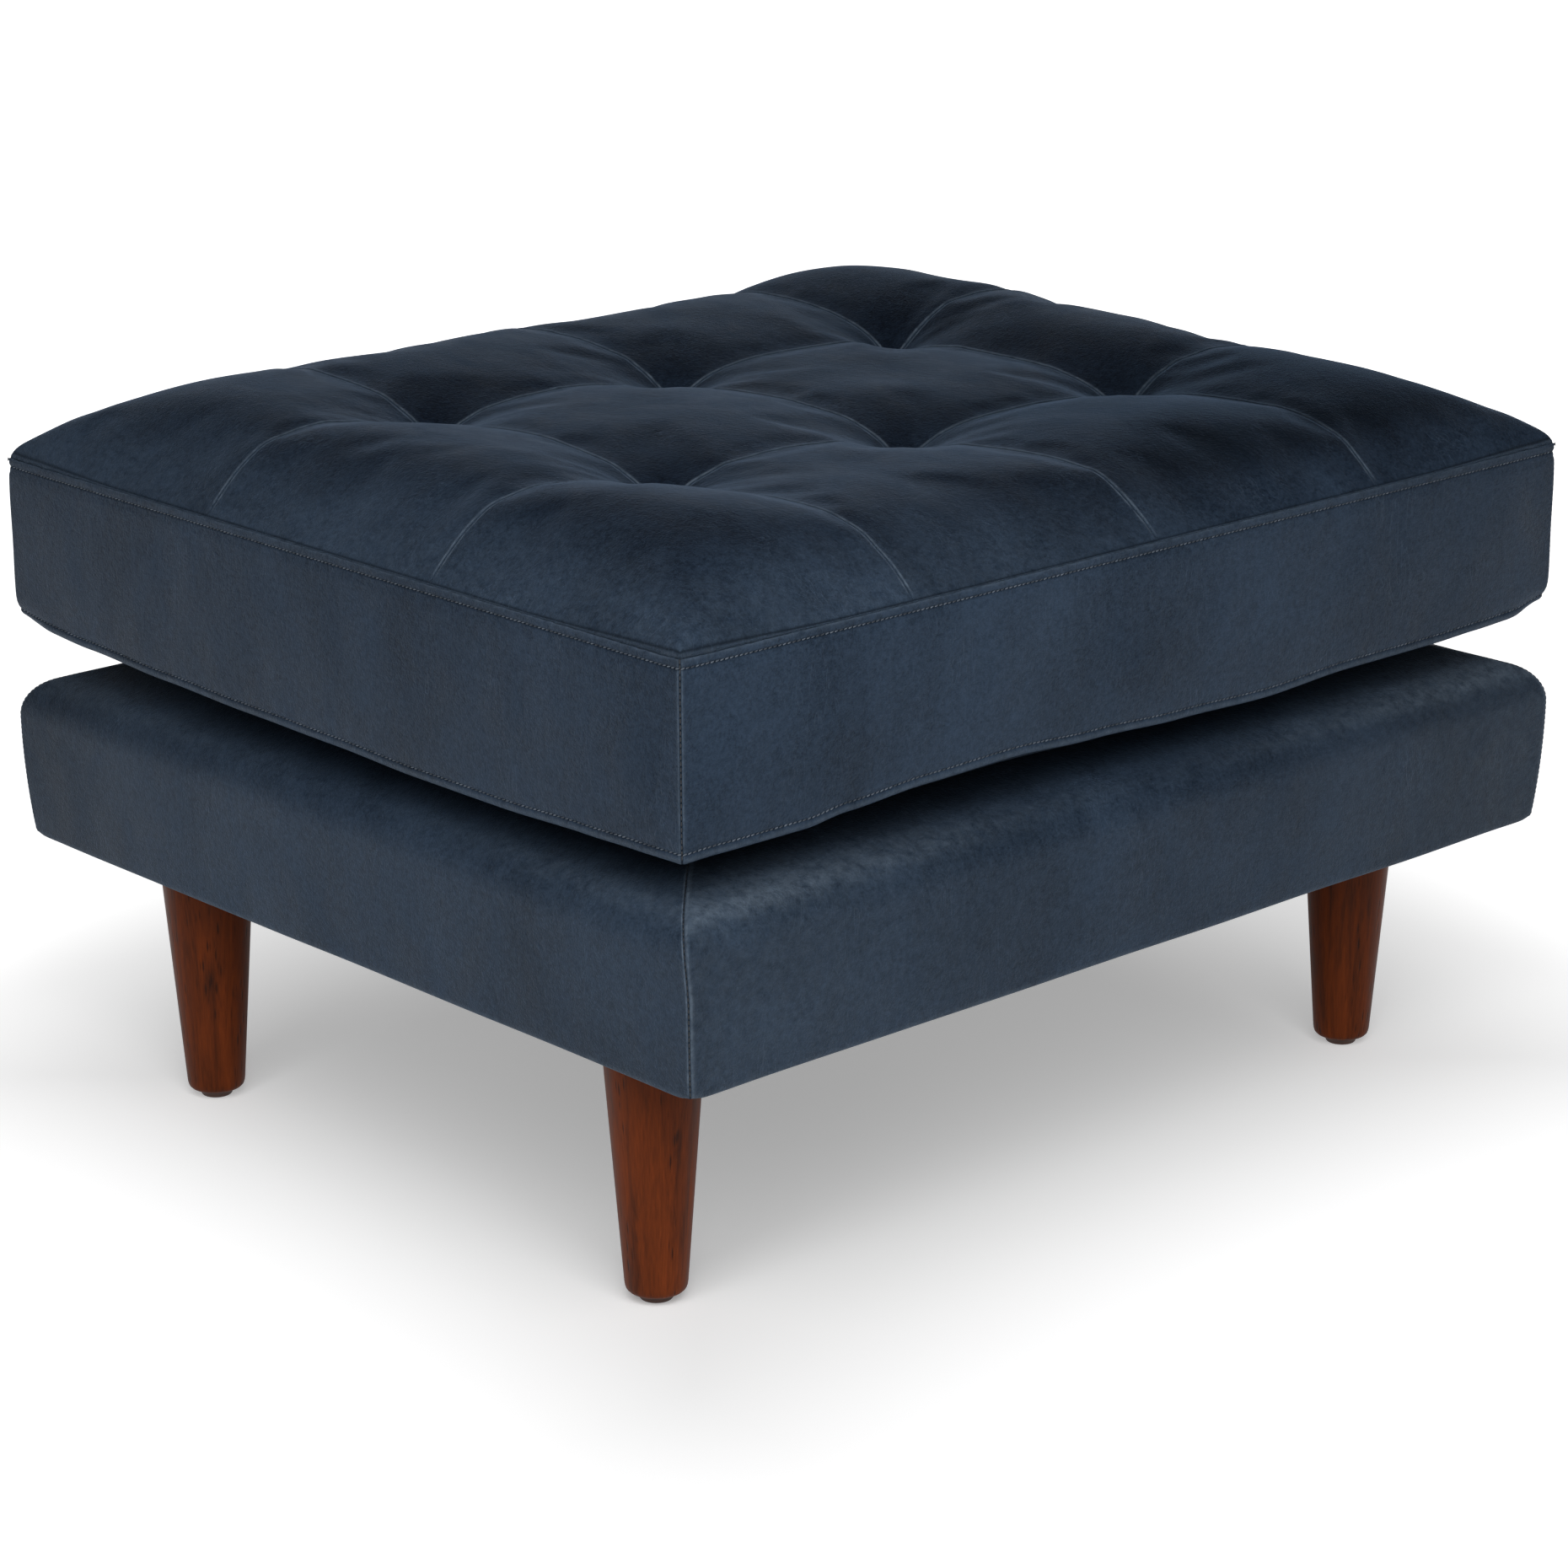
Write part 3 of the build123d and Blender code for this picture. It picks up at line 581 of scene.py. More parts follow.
def spline_weights(coarse, fine):
    """Cubic weights that take values at even places to other places."""
    step = coarse[1] - coarse[0]
    made = np.zeros((len(fine), len(coarse)))
    for row, place in enumerate(fine):
        u = (place - coarse[0]) / step
        i = min(max(int(u // 1), 0), len(coarse) - 2)
        t = u - i
        weights = (-0.5 * t + t**2 - 0.5 * t**3, 1 - 2.5 * t**2 + 1.5 * t**3,
                   0.5 * t + 2 * t**2 - 1.5 * t**3, -0.5 * t**2 + 0.5 * t**3)
        for k, w in zip((-1, 0, 1, 2), weights):
            made[row, min(max(i + k, 0), len(coarse) - 1)] += w
    return made


def blurred(values, cells):
    """Values on an even grid, averaged over their neighbours, with the border repeated."""
    reach = 3 * cells
    weights = np.exp(-0.5 * (np.arange(-reach, reach + 1) / cells)**2)
    weights /= weights.sum()
    for axis in (0, 1):
        cells = np.arange(values.shape[axis])
        values = sum(w * np.take(values, np.clip(cells + k, 0, cells[-1]), axis=axis)
                     for k, w in enumerate(weights, -reach))
    return values


BLOWN_CAP, BLOWN_X, BLOWN_Y, BLOWN_FRAMES = 2 * MM, 147, 127, 20
CLOTH = {
    "quality": 6, "mass": 0.4, "tension_stiffness": 30, "compression_stiffness": 30,
    "shear_stiffness": 15, "bending_stiffness": 3, "vertex_group_mass": "pin",
    "use_pressure": True, "uniform_pressure_force": 4, "shrink_min": -0.012}


def blown(x_places, y_places):
    """How the cushion top moves when cloth is blown up between its seams and tufts."""
    x, y, edge = even_grid(HALF_W, HALF_D, BLOWN_X, BLOWN_Y)
    start = np.stack([x, y, TOP_SEAM + crown(x, y)], axis=-1)
    near = seam_distance(x, y)
    pin = np.maximum(0.3 * bell(near, 5), bell(tuft_distance(x, y), 8))
    pin = np.where(edge < 1e-6, 1.0, pin)
    sheet = mesh_object("blown", start.reshape(-1, 3), grid_faces(BLOWN_X, BLOWN_Y, flip=True),
                        None)
    group = sheet.vertex_groups.new(name="pin")
    for index, weight in enumerate(pin.ravel()):
        group.add([index], float(weight), "REPLACE")
    cloth = sheet.modifiers.new("cloth", "CLOTH")
    for key, value in CLOTH.items():
        setattr(cloth.settings, key, value)
    cloth.settings.effector_weights.gravity = 0
    cloth.collision_settings.use_collision = False
    cloth.point_cache.frame_start, cloth.point_cache.frame_end = 1, BLOWN_FRAMES
    for number in range(1, BLOWN_FRAMES + 1):
        scene.frame_set(number)
    seen = sheet.evaluated_get(bpy.context.evaluated_depsgraph_get()).to_mesh()
    after = np.zeros(start.size)
    seen.vertices.foreach_get("co", after)
    scene.frame_set(1)
    mesh = sheet.data
    bpy.data.objects.remove(sheet)
    bpy.data.meshes.remove(mesh)
    move = after.reshape(start.shape) - start
    # the folds stay, and most of the swelling goes, as the heights are measured
    move = blurred(move - blurred(move, 5), 1)
    size = np.linalg.norm(move, axis=-1, keepdims=True)
    move *= BLOWN_CAP / np.sqrt(BLOWN_CAP**2 + size**2)
    wx, wy = spline_weights(x[:, 0], x_places), spline_weights(y[0], y_places)
    return np.einsum("ai,ijk,bj->abk", wx, move, wy)


NEAR_SEAM = (0, 0.4, 0.9, 1.5, 2.1, 2.8, 3.8, 5.5)
NEAR_EDGE = (0, 0.4, 0.9, 1.6, 2.6, 4, 6, 8.5)
CUSHION_STEP = 3.4 * MM
PLACES = xs, ys = [stations(seams, CUSHION_STEP, NEAR_SEAM, NEAR_EDGE)
                   for seams in (SEAMS_X, SEAMS_Y)]
PULL_IN, PULL_UP, PULL_PAST = 6 * MM, 5 * MM, 6 * MM


def corner_pull(x, y, z):
    """Moves the cushion's lower corners in and up, but for the front left one, which stays."""
    u = fall(HALF_W + PULL_PAST - abs(x), CORNER_RUN)
    v = fall(HALF_D + PULL_PAST - abs(y), CORNER_RUN)
    low = fall(z - CUSHION_BOTTOM, 30)
    share = u * v * low**1.5 * np.where((x < 0) & (y < 0), 0.12, 1.0)
    return x - np.sign(x) * PULL_IN * share, y - np.sign(y) * PULL_IN * share, z + PULL_UP * share


# Lower edge of the cushion, as (place, rise) in millimetres
EDGES = {
    "front": (
        (-366, -1), (-339, 0), (-277, 0), (-245, 3), (-185, 6), (-119, 7), (-50, 4), (22, 1),
        (96, -1), (173, 2), (254, 2), (297, 3), (333, 4), (366, 7)),
    "left": ((-320, -1), (-280, -1), (-238, -2), (-165, -4), (-90, -4), (-11, -2), (72, -1),
             (158, 1), (238, 4), (300, 7), (320, 9)),
    "back": ((-366, 9), (-300, 3), (-180, 1), (-60, 4), (60, 5), (170, 1), (290, 0), (366, 5)),
    "right": ((-320, 7), (-260, 2), (-150, -2), (-20, 1), (110, 3), (220, 0), (320, 5)),
}
EDGE_TOP = 0.7 * MM  # drop from the top seam to the folded edge
EAR, EAR_RUN = 0.5 * MM, 9  # how far corners stand up, and over what distance
EDGE_ROW, LOW_ROW = (0.72 * MM, -5.5 * MM), (1.0 * MM, -BOXING + 5.5 * MM)  # topstitching


def wave(x, name):
    """Smooth line through the listed points of a side's lower edge."""
    at, height = np.array(EDGES[name]).T * MM
    i = np.clip(np.searchsorted(at, x) - 1, 0, len(at) - 2)
    return height[i] + (height[i + 1] - height[i]) * smooth((x - at[i]) / (at[i + 1] - at[i]))


def boxing_profile():
    """Outward and upward offsets from the top seam down to the underside, with its features."""
    high = [
        (0.0, -0.7), (0.5, -0.72), (0.95, -1.05), (1.2, -1.7), (1.3, -2.6), (1.32, -3.6),
        (1.25, -4.4), (1.05, -4.95), (0.7, -5.3), (0.55, -5.55), (0.7, -5.85), (1.0, -6.4),
        (1.2, -7.2), (1.35, -8.4)]
    low = [
        (1.7, 8.6), (1.45, 7.2), (1.2, 6.3), (0.85, 5.75), (0.75, 5.5), (0.95, 5.2),
        (1.35, 4.6), (1.6, 3.6), (1.6, 2.3), (1.35, 1.1), (0.75, 0.25), (-0.2, -0.3),
        (-1.6, -0.55), (-3.6, -0.7), (-7.0, -0.9)]
    rows = [(s * MM, z * MM) for s, z in high]
    rows += [((1.15 + 2.9 * sin(pi * t)) * MM, -BOXING * t)
             for t in np.linspace(0.1, 0.9, 27)]
    return rows + [(s * MM, -BOXING + z * MM) for s, z in low]


def boxing_points(name, places, rows):
    """Points of one boxing strip. Strips meet on the diagonal at each corner."""
    number, axis, facing = SIDES[name]
    half_along, half_out = (HALF_D, HALF_W) if axis else (HALF_W, HALF_D)
    s, dz = np.array(rows).T[..., None]
    t = places[None, :]
    depth = -dz - EDGE_TOP
    share = np.clip(depth / (BOXING - EDGE_TOP), 0, 1)
    corner = half_along - abs(t)
    ease = ramp(corner, CORNER_RUN)
    body = np.sin(np.pi * share)
    bulge = s * (1 - 0.55 * (1 - ease) * body)
    ripple = (0.9 * field(t, depth * 0.45, 52 * MM, 10 + number)
              + 0.35 * field(t, depth * 0.6, 21 * MM, 20 + number)) * MM
    # the seam itself, between the two strips of a corner
    pit = 1.0 * MM * bell(corner, 0.8) * ramp(depth, 3)
    offset = bulge + ripple * body * ease - pit
    along = t + np.sign(t) * offset * smooth((abs(t) - (half_along - 60 * MM)) / (60 * MM))
    ear = EAR * bell(corner, EAR_RUN) * np.exp(-depth / (EAR_RUN * MM))
    z = TOP_SEAM + dz + ear + wave(t, name) * smooth(share)**1.6
    return np.stack(corner_pull(*placed(axis, along, facing * (half_out + offset), z)), axis=-1)


# Painted light on each side, falling off away from the lamps: its paleness at its near end,
# middle and far end from the front left corner
BOXING_PALE = {"front": (0.86, 1.0, 0.68), "left": (0.8, 0.76, 0.56)}
BASE_PALE = {"front": (1.0, 0.97, 0.5), "left": (1.0, 1.0, 0.6)}
SHADES = ("panel", "wear", "dark", "pale")


def side_pale(name, share, table):
    near, middle, far = table.get(name, (0.85, 0.85, 0.85))
    return near + (middle - near) * smooth(share + 1) + (far - middle) * smooth(share)


def make_cushion():
    build = Build(*SHADES)
    x, y = np.meshgrid(xs, ys, indexing="ij")
    edge = inset(x, y)
    corner = np.hypot(HALF_W - abs(x), HALF_D - abs(y))
    z = TOP_SEAM - EDGE_TOP + crown(x, y) + EAR * bell(corner, EAR_RUN)
    z += sewn_detail(x, y) * ramp(edge, 5)
    # the folded edge stands up a little, with a groove behind it
    z += (bell(edge, 0.5, 0.6) * 0.3 - bell(edge, 0.5, 0.9) * 0.4) * MM * ramp(edge, 0.4)
    points = np.stack([x, y, z], axis=-1)
    points += blown(xs, ys) * ramp(edge, 12)[..., None]
    column = np.searchsorted(SEAMS_X[1:-1], x)
    row = np.searchsorted(SEAMS_Y[1:-1], y)
    panel = 1.7 * column + 3.1 * row + 0.4 * column * row
    near = seam_distance(x, y)
    # painted shade on the right of the front row, away from the lamps, where the painted light
    # near the edges also reaches less far in
    away = ramp(x, 120, -20) * ramp(-y, 80, 60)
    right = ramp(x, 260, -130)
    # pale rubbed lines beside the seams and along the edge, and painted light near the edges on
    # the left
    wear = most(0.95 * bell(near, 0.7, 1.3) * ramp(edge, 8), 0.5 * bell(edge, 0.6),
                0.16 * (1 - right) * fall(edge, 60))
    # painted shade in the seams' grooves, in the groove behind the folded edge, and on the right
    # of the front row
    dark = most(0.3 * bell(near, 0.5), 0.75 * bell(edge, 0.5, 0.9),
                0.65 * away * ramp(edge, 40, 15))
    # paler near the edges and seams: stretched leather, and painted light reaching further in on
    # the left
    pale = most(fall(edge, 84 - 44 * right)**0.95, 0.22 * bell(near, 14))
    build.grid(points, flip=True, panel=panel, wear=wear, dark=dark, pale=pale)
    rows = boxing_profile()
    depth = -np.array(rows)[:, 1:]
    low = BOXING - depth
    for name, (number, axis, _) in SIDES.items():
        places = side_places(name, PLACES)
        half_along = (HALF_W, HALF_D)[axis]
        corner = half_along - abs(places[None, :])
        wear = most(0.55 * bell(depth, 1.5, 0.2), 0.4 * bell(low, 1.5, 2),
                    0.6 * bell(corner, 0.8, 1.6))
        # painted shade in the stitch grooves and in the corner seams
        dark = most(0.92 * bell(depth, 0.75, 5.5), 0.75 * bell(low, 0.5, 5.5),
                    0.95 * bell(corner, 0.7))
        build.grid(boxing_points(name, places, rows), panel=20.0 + 2.3 * (number - 1), wear=wear,
                   dark=dark, pale=side_pale(name, places[None, :] / half_along, BOXING_PALE))
    return build.finish("cushion_cover", side_leather, merge=WELD)


cushion = make_cushion()
cushion.data.materials.append(top_leather)
for face in cushion.data.polygons:
    px, py, pz = face.center
    inside = abs(px) < HALF_W - 1 * MM and abs(py) < HALF_D - 1 * MM
    if pz > TOP_SEAM + 1.5 * MM or (inside and pz > TOP_SEAM - 3 * MM):
        face.material_index = 1
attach(cushion, "cushion")
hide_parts("top_panels_front", "top_panels_middle", "top_panels_back", "boxing_front",
            "boxing_back", "boxing_left", "boxing_right", "fibre_wrap", "cushion_foam")


UNDER_RUN, UNDER_RISE, UNDER_EDGE, TAPE = 40, 3.2 * MM, 3 * MM, 6.2 * MM


def under_points(x, y):
    """Underside of the cushion: flat in the middle, turned up to the bottom seam."""
    edge = inset(x, y)
    run = np.clip(1 - edge / (UNDER_RUN * MM), 0, 1)
    lift, total = np.zeros_like(x), np.zeros_like(x) + 1e-9
    for name, places, distance in (("front", x, HALF_D + y), ("back", x, HALF_D - y),
                                   ("left", y, HALF_W + x), ("right", y, HALF_W - x)):
        share = fall(distance, UNDER_RUN) * np.exp(-distance / (20 * MM))
        lift += wave(places, name) * share
        total += share
    z = CUSHION_BOTTOM + UNDER_RISE * run**2 + np.maximum(lift / np.maximum(total, 1), 0.0)
    return np.stack(corner_pull(x, y, z), axis=-1)


def make_underside():
    build = Build(*SHADES)
    seams_x = (-HALF_W + UNDER_EDGE, -ZIP_HALF, ZIP_HALF, HALF_W - UNDER_EDGE)
    seams_y = (-HALF_D + UNDER_EDGE, ZIP_Y - TAPE, ZIP_Y + TAPE, HALF_D - UNDER_EDGE)
    x, y = np.meshgrid(*[stations(seams, 9 * MM, (0, 0.8, 1.8, 3), (0, 2, 5))
                         for seams in (seams_x, seams_y)], indexing="ij")
    across = abs(y - ZIP_Y)
    slot = ((across < TAPE + 0.1 * MM) & (abs(x) < ZIP_HALF + 0.5 * MM)).ravel()
    wear = 0.5 * bell(abs(across - TAPE), 1, 1.2) * (abs(x) < ZIP_HALF + 3 * MM)
    faces = [face for face in grid_faces(*x.shape) if not all(slot[list(face)])]
    # dark paints shade over the whole underside
    build.add(under_points(x, y), faces, panel=55.0, wear=wear, dark=0.3, pale=0.1)
    made = build.finish("cushion_underside", side_leather)
    solid = made.modifiers.new("thickness", "SOLIDIFY")
    solid.thickness, solid.offset = 1.3 * MM, -1
    bpy.context.view_layer.objects.active = made
    bpy.ops.object.modifier_apply(modifier="thickness")
    return made


underside = make_underside()
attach(underside, "cushion")
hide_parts("bottom_panel", "bottom_rear_panel")

TWINE_TURN, STRAND_OUT, STRAND, STRAND_SIDES = 7 * MM, 0.72 * MM, 0.78 * MM, 7


def make_twines():
    """Two-strand twines that pull each tuft down, from the tabs to the leather."""
    build = Build()
    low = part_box("tuft_twines")[0].z
    sides = np.linspace(0, 2 * pi, STRAND_SIDES, endpoint=False)
    for tx, ty in TUFTS:
        high = TOP_SEAM + float(crown(np.array(tx), np.array(ty))) - 3 * MM
        heights = np.linspace(low, high, 62)[:, None]
        for start in (0, pi):
            turn = start + 2 * pi * (heights - low) / TWINE_TURN
            x = tx + STRAND_OUT * np.cos(turn) + STRAND * np.cos(sides)
            y = ty + STRAND_OUT * np.sin(turn) + STRAND * np.sin(sides)
            build.add(np.stack(np.broadcast_arrays(x, y, heights), axis=-1),
                      tube_faces(*x.shape))
    made = build.finish("tuft_twine_strands", twine)
    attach(made, "cushion")
    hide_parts("tuft_twines")


make_twines()


# Stitches

STITCH, STITCH_EDGE, STITCH_CORNER = 2.5 * MM, 0.4 * MM, 0.42 * MM
PITCH_EDGE, PITCH_CORNER, SLANT = 3.4 * MM, 3.3 * MM, 0.28


def row_along(points, pitch):
    """Places a pitch apart along a line of points, with their directions."""
    steps = np.linalg.norm(np.diff(points, axis=0), axis=1)
    length = np.concatenate([[0], np.cumsum(steps)])
    count = int(length[-1] / pitch)
    at = (np.arange(count) + 0.5) * length[-1] / count
    places, ahead, behind = [
        np.stack([np.interp(at + shift * pitch, length, points[:, k]) for k in range(3)], axis=-1)
        for shift in (0, 0.3, -0.3)]
    return places, ahead - behind


def corner_stitches(build, points, out):
    """Stitches up a corner, a little outside the line of points."""
    normal = np.array([np.sign(points[0, 0]), np.sign(points[0, 1]), 0.0])
    middle, direction = row_along(points + normal * out, PITCH_CORNER)
    capsules(build, middle, direction, normal, STITCH, STITCH_CORNER)


def make_stitches():
    edge, corners, base_corners = Build(), Build(), Build()
    full = [row for row in boxing_profile() if -BOXING + 1.5 * MM < row[1] < 0]
    for name, (_, axis, facing) in SIDES.items():
        places = side_places(name, PLACES)
        for row in (EDGE_ROW, LOW_ROW):
            middle, direction = row_along(boxing_points(name, places, [row])[0], PITCH_EDGE)
            direction = direction / np.linalg.norm(direction, axis=1, keepdims=True)
            capsules(edge, middle, direction + np.array([0, 0, SLANT]),
                     placed(axis, 0.0, facing, 0.0), STITCH, STITCH_EDGE)
        corner_stitches(corners, boxing_points(name, places[-1:], full)[:, 0], 0.15 * MM)
    for piece in (edge.finish("edge_stitches", thread_edge),
                  corners.finish("corner_stitches", thread_corner)):
        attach(piece, "cushion")
    rows = [row for row in base_profile() if BASE_BOTTOM + 1.5 * MM < row[1] < DECK - 8 * MM]
    for name in ("front", "back"):
        for share in (-1.0, 1.0):
            points = base_points(name, np.array([share]), rows)[0][:, 0]
            corner_stitches(base_corners, points, 0.2 * MM)
    made = base_corners.finish("base_stitches", thread_corner)
    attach(made, "base")


# Zip: coil teeth over the tapes

TOOTH_PITCH, TOOTH_OUT, TOOTH, TOOTH_RADIUS = 1.6 * MM, 1.45 * MM, 3.0 * MM, 0.62 * MM
TOOTH_Z, ZIP_END = 297.7 * MM, 5 * MM


def make_zip():
    coils = Build()
    for side in (-1, 1):
        for index in range(int((2 * ZIP_HALF - 2 * ZIP_END) / TOOTH_PITCH)):
            x = -ZIP_HALF + ZIP_END + (index + 0.5 + 0.25 * side) * TOOTH_PITCH
            capsules(coils, [np.array([x, ZIP_Y + side * TOOTH_OUT, TOOTH_Z])],
                     [(0.25, side, 0)], (0, 0, 1), TOOTH, TOOTH_RADIUS)
    made = coils.finish("zip_coil_teeth", coil_plastic)
    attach(made, "cushion")
    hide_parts("zip_coils")


make_zip()


# Base cover

BASE_RISE, BOW, ROLL_RADIUS, ROLL_END, DECK_END = 80 * MM, 4.5 * MM, 26 * MM, 70, -89 * MM
LEAN = 6 * MM  # how far the near corner's seam leans to the left


def base_profile():
    """Outward offset and height of the base cover, from under the frame up to its deck."""
    radius = (BASE_RISE**2 + BOW**2) / (2 * BOW)
    widest = BASE_BOTTOM + BASE_RISE
    rows = [(s * MM, BASE_BOTTOM + z * MM) for s, z in (
        (-29, 0.1), (-12, 0.1), (-4, 0.15), (-1.6, 0.35), (-0.5, 0.95), (0.05, 2.0))]
    for z in np.linspace(BASE_BOTTOM + 4.5 * MM, widest, 22):
        rows.append((BOW - radius + sqrt(radius**2 - (widest - z)**2), z))
    centre = BOW - ROLL_RADIUS
    for angle in np.linspace(5, ROLL_END, 14):
        a = radians(angle)
        rows.append((centre + ROLL_RADIUS * cos(a), widest + ROLL_RADIUS * sin(a)))
    deck_radius = (DECK - rows[-1][1]) / (1 - sin(a))
    middle = centre - (deck_radius - ROLL_RADIUS) * cos(a)
    for angle in np.linspace(ROLL_END + 1.2, 90, 16):
        b = radians(angle)
        s = middle + deck_radius * cos(b)
        if s < DECK_END:
            break
        rows.append((s, DECK - deck_radius + deck_radius * sin(b)))
    return rows


def base_points(name, shares, rows):
    """Points of one side, with their distance from its corners and their share of the height."""
    number, axis, facing = SIDES[name]
    half_along, half_out = (BASE_D, BASE_W) if axis else (BASE_W, BASE_D)
    s, z = np.array(rows).T[..., None]
    share = shares[None, :]
    t = share * half_along
    corner = (half_along + s) * (1 - abs(share))
    level = (z - BASE_BOTTOM) / (DECK - BASE_BOTTOM)
    body = smooth(level / 0.12) * smooth((1 - level) / 0.12)
    ripple = (0.8 * field(t, z * 0.4, 70 * MM, 30 + number)
              + 0.25 * field(t, z * 0.5, 26 * MM, 40 + number)) * MM
    ease = ramp(corner, CORNER_RUN)
    offset = s + ripple * body * ease
    offset = offset - 1.0 * MM * bell(corner, 0.9) * smooth(level / 0.03)
    along = share * (half_along + offset)
    out = facing * (half_out + offset)
    if facing < 0:
        # higher up, the seam of the front left corner lies on the left side
        past = along + half_along + offset
        past = past + ((1 if axis else -1) * LEAN * smooth((level - 0.4) / 0.5)
                       * np.exp(-past / (30 * MM)))
        along = np.maximum(past, 0) - half_along - offset
        out = out + np.maximum(-past, 0)
    z = z + 0.6 * MM * field(t, 0, 90 * MM, 50 + number) * ease * (level < 0.04)
    z = z + 1.8 * MM * bell(corner, 6) * smooth(1 - level / 0.08)
    return np.stack(placed(axis, along, out, z), axis=-1), corner, level


def base_shares(half):
    """Stations along a side as shares of its half length, fine towards the corners."""
    return stations((-half, half), 6 * MM, (), [0, 0.5, 1.0, 1.6, 2.4, 3.5, 5, 8, 12]) / half


def make_base():
    build = Build(*SHADES)
    rows = base_profile()
    for name, (number, axis, _) in SIDES.items():
        front = name == "front"
        shares = side_places(name, [base_shares(half) for half in (BASE_W, BASE_D)])
        points, corner, level = base_points(name, shares, rows)
        wide = 0.9 if axis else 1.6
        scuff = bell(corner, 4.5, 9) * np.exp(-((level - 0.77) / 0.04)**2)
        # a pale band along the crest of the roll: rubbed leather, and a painted highlight
        rolled = (0.62 if front else 0.26) * np.exp(-((level - 0.775) / 0.042)**2)
        handled = (0.17 if front else 0.06) * bell(corner, 170)
        wear = most(bell(corner, wide, 0.5 + wide), 0.65 * np.exp(-(level / 0.02)**2),
                    scuff * front, 0.04 + handled + rolled * bell(corner, 240))
        # painted shadow of the cushion over the top of the base: darker and less pale there
        start, run = (0.81, 0.06) if front else (0.79, 0.12)
        hidden = smooth((level - start) / run)
        # painted shade in the corner seams, and the painted shadow of the cushion
        dark = most(0.9 * bell(corner, 0.6), 0.5 * hidden)
        pale = side_pale(name, shares[None, :], BASE_PALE) * (1 - hidden)
        build.grid(points[::-1], panel=30.0 + 2.9 * (number - 1), wear=wear[::-1],
                   dark=dark[::-1], pale=pale[::-1])
    return build.finish("base_cover", side_leather, merge=WELD)


base = make_base()
# the top of the base, under the cushion, takes the low-sheen copy as painted shade
base.data.materials.append(deck_leather)
for face in base.data.polygons:
    if face.center.z > DECK - 9 * MM:
        face.material_index = 1
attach(base, "base")
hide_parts("cover_front", "cover_back", "cover_left", "cover_right", "padding_front",
            "padding_back", "padding_left", "padding_right", "deck_foam")
make_stitches()


def make_deck():
    """Dark cloth in the middle of the deck, sewn to the leather lip."""
    s, z = base_profile()[-1]
    half_x, half_y = BASE_W + s + 3 * MM, BASE_D + s + 3 * MM
    x, y, inward = even_grid(half_x, half_y, 60, 52)
    height = z - 0.6 * MM + (DECK - z) * ramp(inward, 45)
    height += 0.25 * MM * field(x, y, 60 * MM, 71) * ramp(inward, 20) - 0.25 * MM
    points = np.stack([x, y, height], axis=-1)
    made = grid_mesh("deck_cloth_sheet", points, deck_weave, flip=True)
    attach(made, "base")
    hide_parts("deck_cloth")


make_deck()

DUST_X, DUST_Y, DUST_Z = 347 * MM, 302.5 * MM, 164.4 * MM
STAPLE_STEP, STAPLE_IN, STAPLE_Z = 38 * MM, 6 * MM, 164.0 * MM


def make_dust_cover():
    """Woven cloth stapled under the frame, sagging a little."""
    x, y, inward = even_grid(DUST_X, DUST_Y, 70, 62)
    z = DUST_Z - 0.9 * MM * ramp(inward, 120)
    z = z + 0.35 * MM * field(x, y, 45 * MM, 72) * ramp(inward, 15)
    leg = np.min([np.hypot(x - lx, y - ly) for lx, ly in LEGS], axis=0)
    z = np.where(leg < 36 * MM, DUST_Z - 0.05 * MM, z)
    made = grid_mesh("dust_cover_sheet", np.stack([x, y, z], axis=-1), dust_weave)
    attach(made, "base")
    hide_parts("dust_cover")
    staples = Build()
    for axis, half, other in ((0, DUST_X, DUST_Y), (1, DUST_Y, DUST_X)):
        count = int(2 * half / STAPLE_STEP)
        for side in (-1, 1):
            for index in range(count):
                t = -half + (index + 0.5) * 2 * half / count
                place = placed(axis, t, side * (other - STAPLE_IN), STAPLE_Z)
                along = placed(axis, 1.0, 0.12 * sin(index * 2.4), 0)
                capsules(staples, [np.array(place)], [along], (0, 0, -1), 10 * MM, 0.5 * MM)
    made = staples.finish("dust_cover_staples", steel)
    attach(made, "base")


make_dust_cover()


# Legs and glides, as (radius, height) pairs in millimetres

LEG_FOOT = ((8, 0), (12.2, 0), (14.6, 0.3), (16.3, 1.0), (17.5, 2.2), (18.1, 3.8))
LEG_RADIUS, LEG_TAPER = 18, 12
GLIDE_FORM = ((6, 0), (8.4, 0), (9.4, 0.3), (9.9, 0.9), (10.2, 2.0), (10.4, 3.0), (10.9, 3.2),
              (11, 3.6), (11, 4.8), (10.8, 5))


def make_legs():
    profile = [(r * MM, GLIDE + z * MM) for r, z in LEG_FOOT]
    for z in np.linspace(GLIDE + 6 * MM, LEG_TOP - 0.2 * MM, 30):
        share = (z - GLIDE) / (LEG_TOP - GLIDE)
        profile.append(((LEG_RADIUS + LEG_TAPER * share) * MM, z))
    for name, node, pair in (("front_leg_pair", "front_legs", (0, 1)),
                             ("back_leg_pair", "back_legs", (2, 3))):
        build = Build()
        for index in pair:
            lathe(build, profile, *LEGS[index], 72, panel=5.0 + 0.37 * index)
        made = build.finish(name, leg_wood)
        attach(made, "base")
        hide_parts(node)
    build = Build()
    for x, y in LEGS:
        lathe(build, [(r * MM, z * MM) for r, z in GLIDE_FORM], x, y, 48)
    made = build.finish("glide_set", glide_plastic)
    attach(made, "base")
    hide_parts("leg_glides")


make_legs()


# CAD nodes that stay keep their shape and get a material

for name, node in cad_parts.items():
    if not node.hide_render:
        node.data.materials.clear()
        node.data.materials.append(NODE_MATERIALS[name])


# Floor, background and lamps

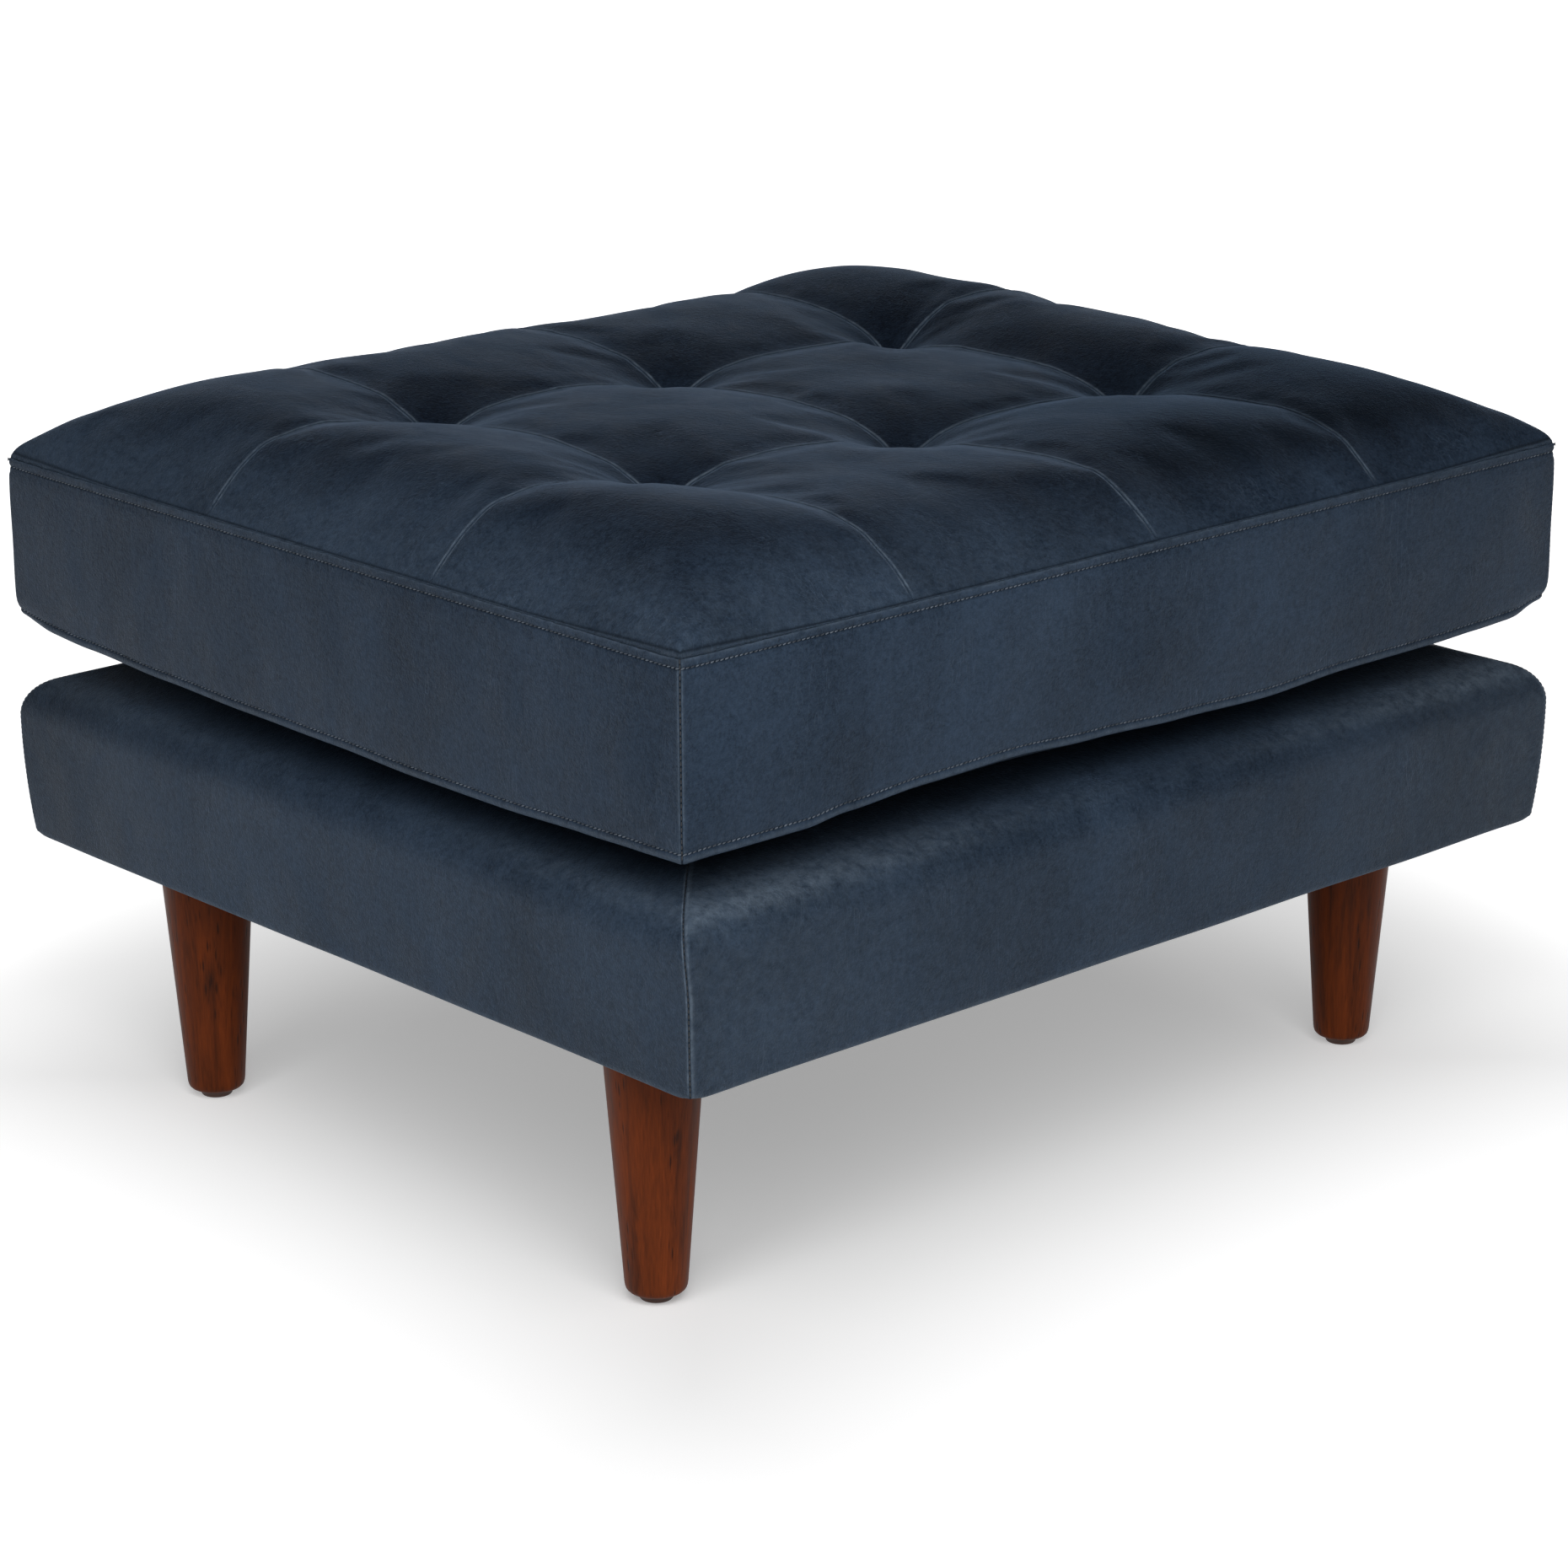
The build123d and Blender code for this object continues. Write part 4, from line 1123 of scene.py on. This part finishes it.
# The floor's glow, low near the footstool as a painted shadow and rising outwards in steps as
# (start, run, gain), and a darker patch of painted shadow
FLOOR_WHITE = 0.36
FLOOR_STEPS = ((-0.107, 0.322, 0.353), (0.133, 0.199, 0.295), (0.6, 1.0, 0.3))
PATCH_PLACE, PATCH_REACH, PATCH_DEPTH = (-0.556, -0.633, 0.0), 0.47, -0.388
WORLD_LIGHT, WALL, WALL_TOP = 0.07, 0.3, 0.06
LAMP_TARGET = Vector((0, 0, 0.28))


def make_floor():
    """White ground: its glow is low near the footstool, painting a shadow there over the cast
    one, and it is pure white further off.
    """
    n = Nodes("floor")
    path = n.add("LightPath")
    rays = n.math("ADD", path.outputs["Is Camera Ray"], path.outputs["Is Glossy Ray"], clamp=True)
    parts = n.add("SeparateXYZ", {"Vector": n.place})
    past = [n.math("SUBTRACT", n.math("ABSOLUTE", parts.outputs[axis]), half)
            for axis, half in (("X", 362 * MM), ("Y", 317 * MM))]
    outside = n.math("SQRT", n.plus(*[n.math("POWER", n.math("MAXIMUM", a, 0.0), 2.0)
                                      for a in past]))
    away = n.plus(outside, n.math("MINIMUM", n.math("MAXIMUM", *past), 0.0))
    white = FLOOR_WHITE
    for start, run, gain in FLOOR_STEPS:
        white = n.plus(n.span(away, start, start + run, 0.0, gain,
                              interpolation_type="SMOOTHSTEP"), white)
    # deeper shadow by the near corner
    reach = n.add("VectorMath", operation="LENGTH")
    n.set(reach.inputs[0], n.vector("SUBTRACT", n.place, PATCH_PLACE))
    square = n.math("POWER", n.math("DIVIDE", reach.outputs["Value"], PATCH_REACH), 2.0)
    patch = n.math("EXPONENT", n.times(square, -1.0))
    white = n.math("MAXIMUM", n.plus(white, n.times(patch, PATCH_DEPTH)), 0.0)
    material = n.out(color=(0.8, 0.8, 0.8), rough=0.9, specular=0.0, glow=(1, 1, 1),
                     glow_strength=n.times(rays, white))
    floor = mesh_object("floor", [(-9, -9, 0), (9, -9, 0), (9, 9, 0), (-9, 9, 0)],
                        [(0, 1, 2, 3)], material)


def make_world():
    """White to the camera, a white wall low down in reflections, and little light of its own."""
    n = Nodes("world", bpy.data.worlds, "Background")
    path = n.add("LightPath")
    parts = n.add("SeparateXYZ", {"Vector": n.coordinates["Generated"]})
    strength = WORLD_LIGHT
    for ray, other in (("Is Glossy Ray", n.span(parts.outputs["Z"], 0.3, 0.75, WALL, WALL_TOP)),
                       ("Is Camera Ray", 1.0)):
        strength = n.add("Mix", {"Factor": path.outputs[ray], "A": strength,
                                           "B": other}).outputs["Result"]
    n.set(n.shader.inputs["Strength"], strength)
    n.set(n.shader.inputs["Color"], (1, 1, 1))
    scene.world = n.owner


def lamp(name, azimuth, power, height=1.3, distance=1.6, size=(1.2, 1.1)):
    """Soft box at an azimuth about the object, aimed at it."""
    data = bpy.data.lights.new(name, "AREA")
    data.shape = "RECTANGLE"
    data.size, data.size_y = size
    data.energy = power
    a = radians(azimuth)
    place = Vector((sin(a) * distance, -cos(a) * distance, height))
    aim(linked(name, data), place, LAMP_TARGET - place)


make_floor()
make_world()
lamp("left_box", -62, 13)
lamp("front_box", -30, 19.5)

scene.view_settings.view_transform = "Standard"
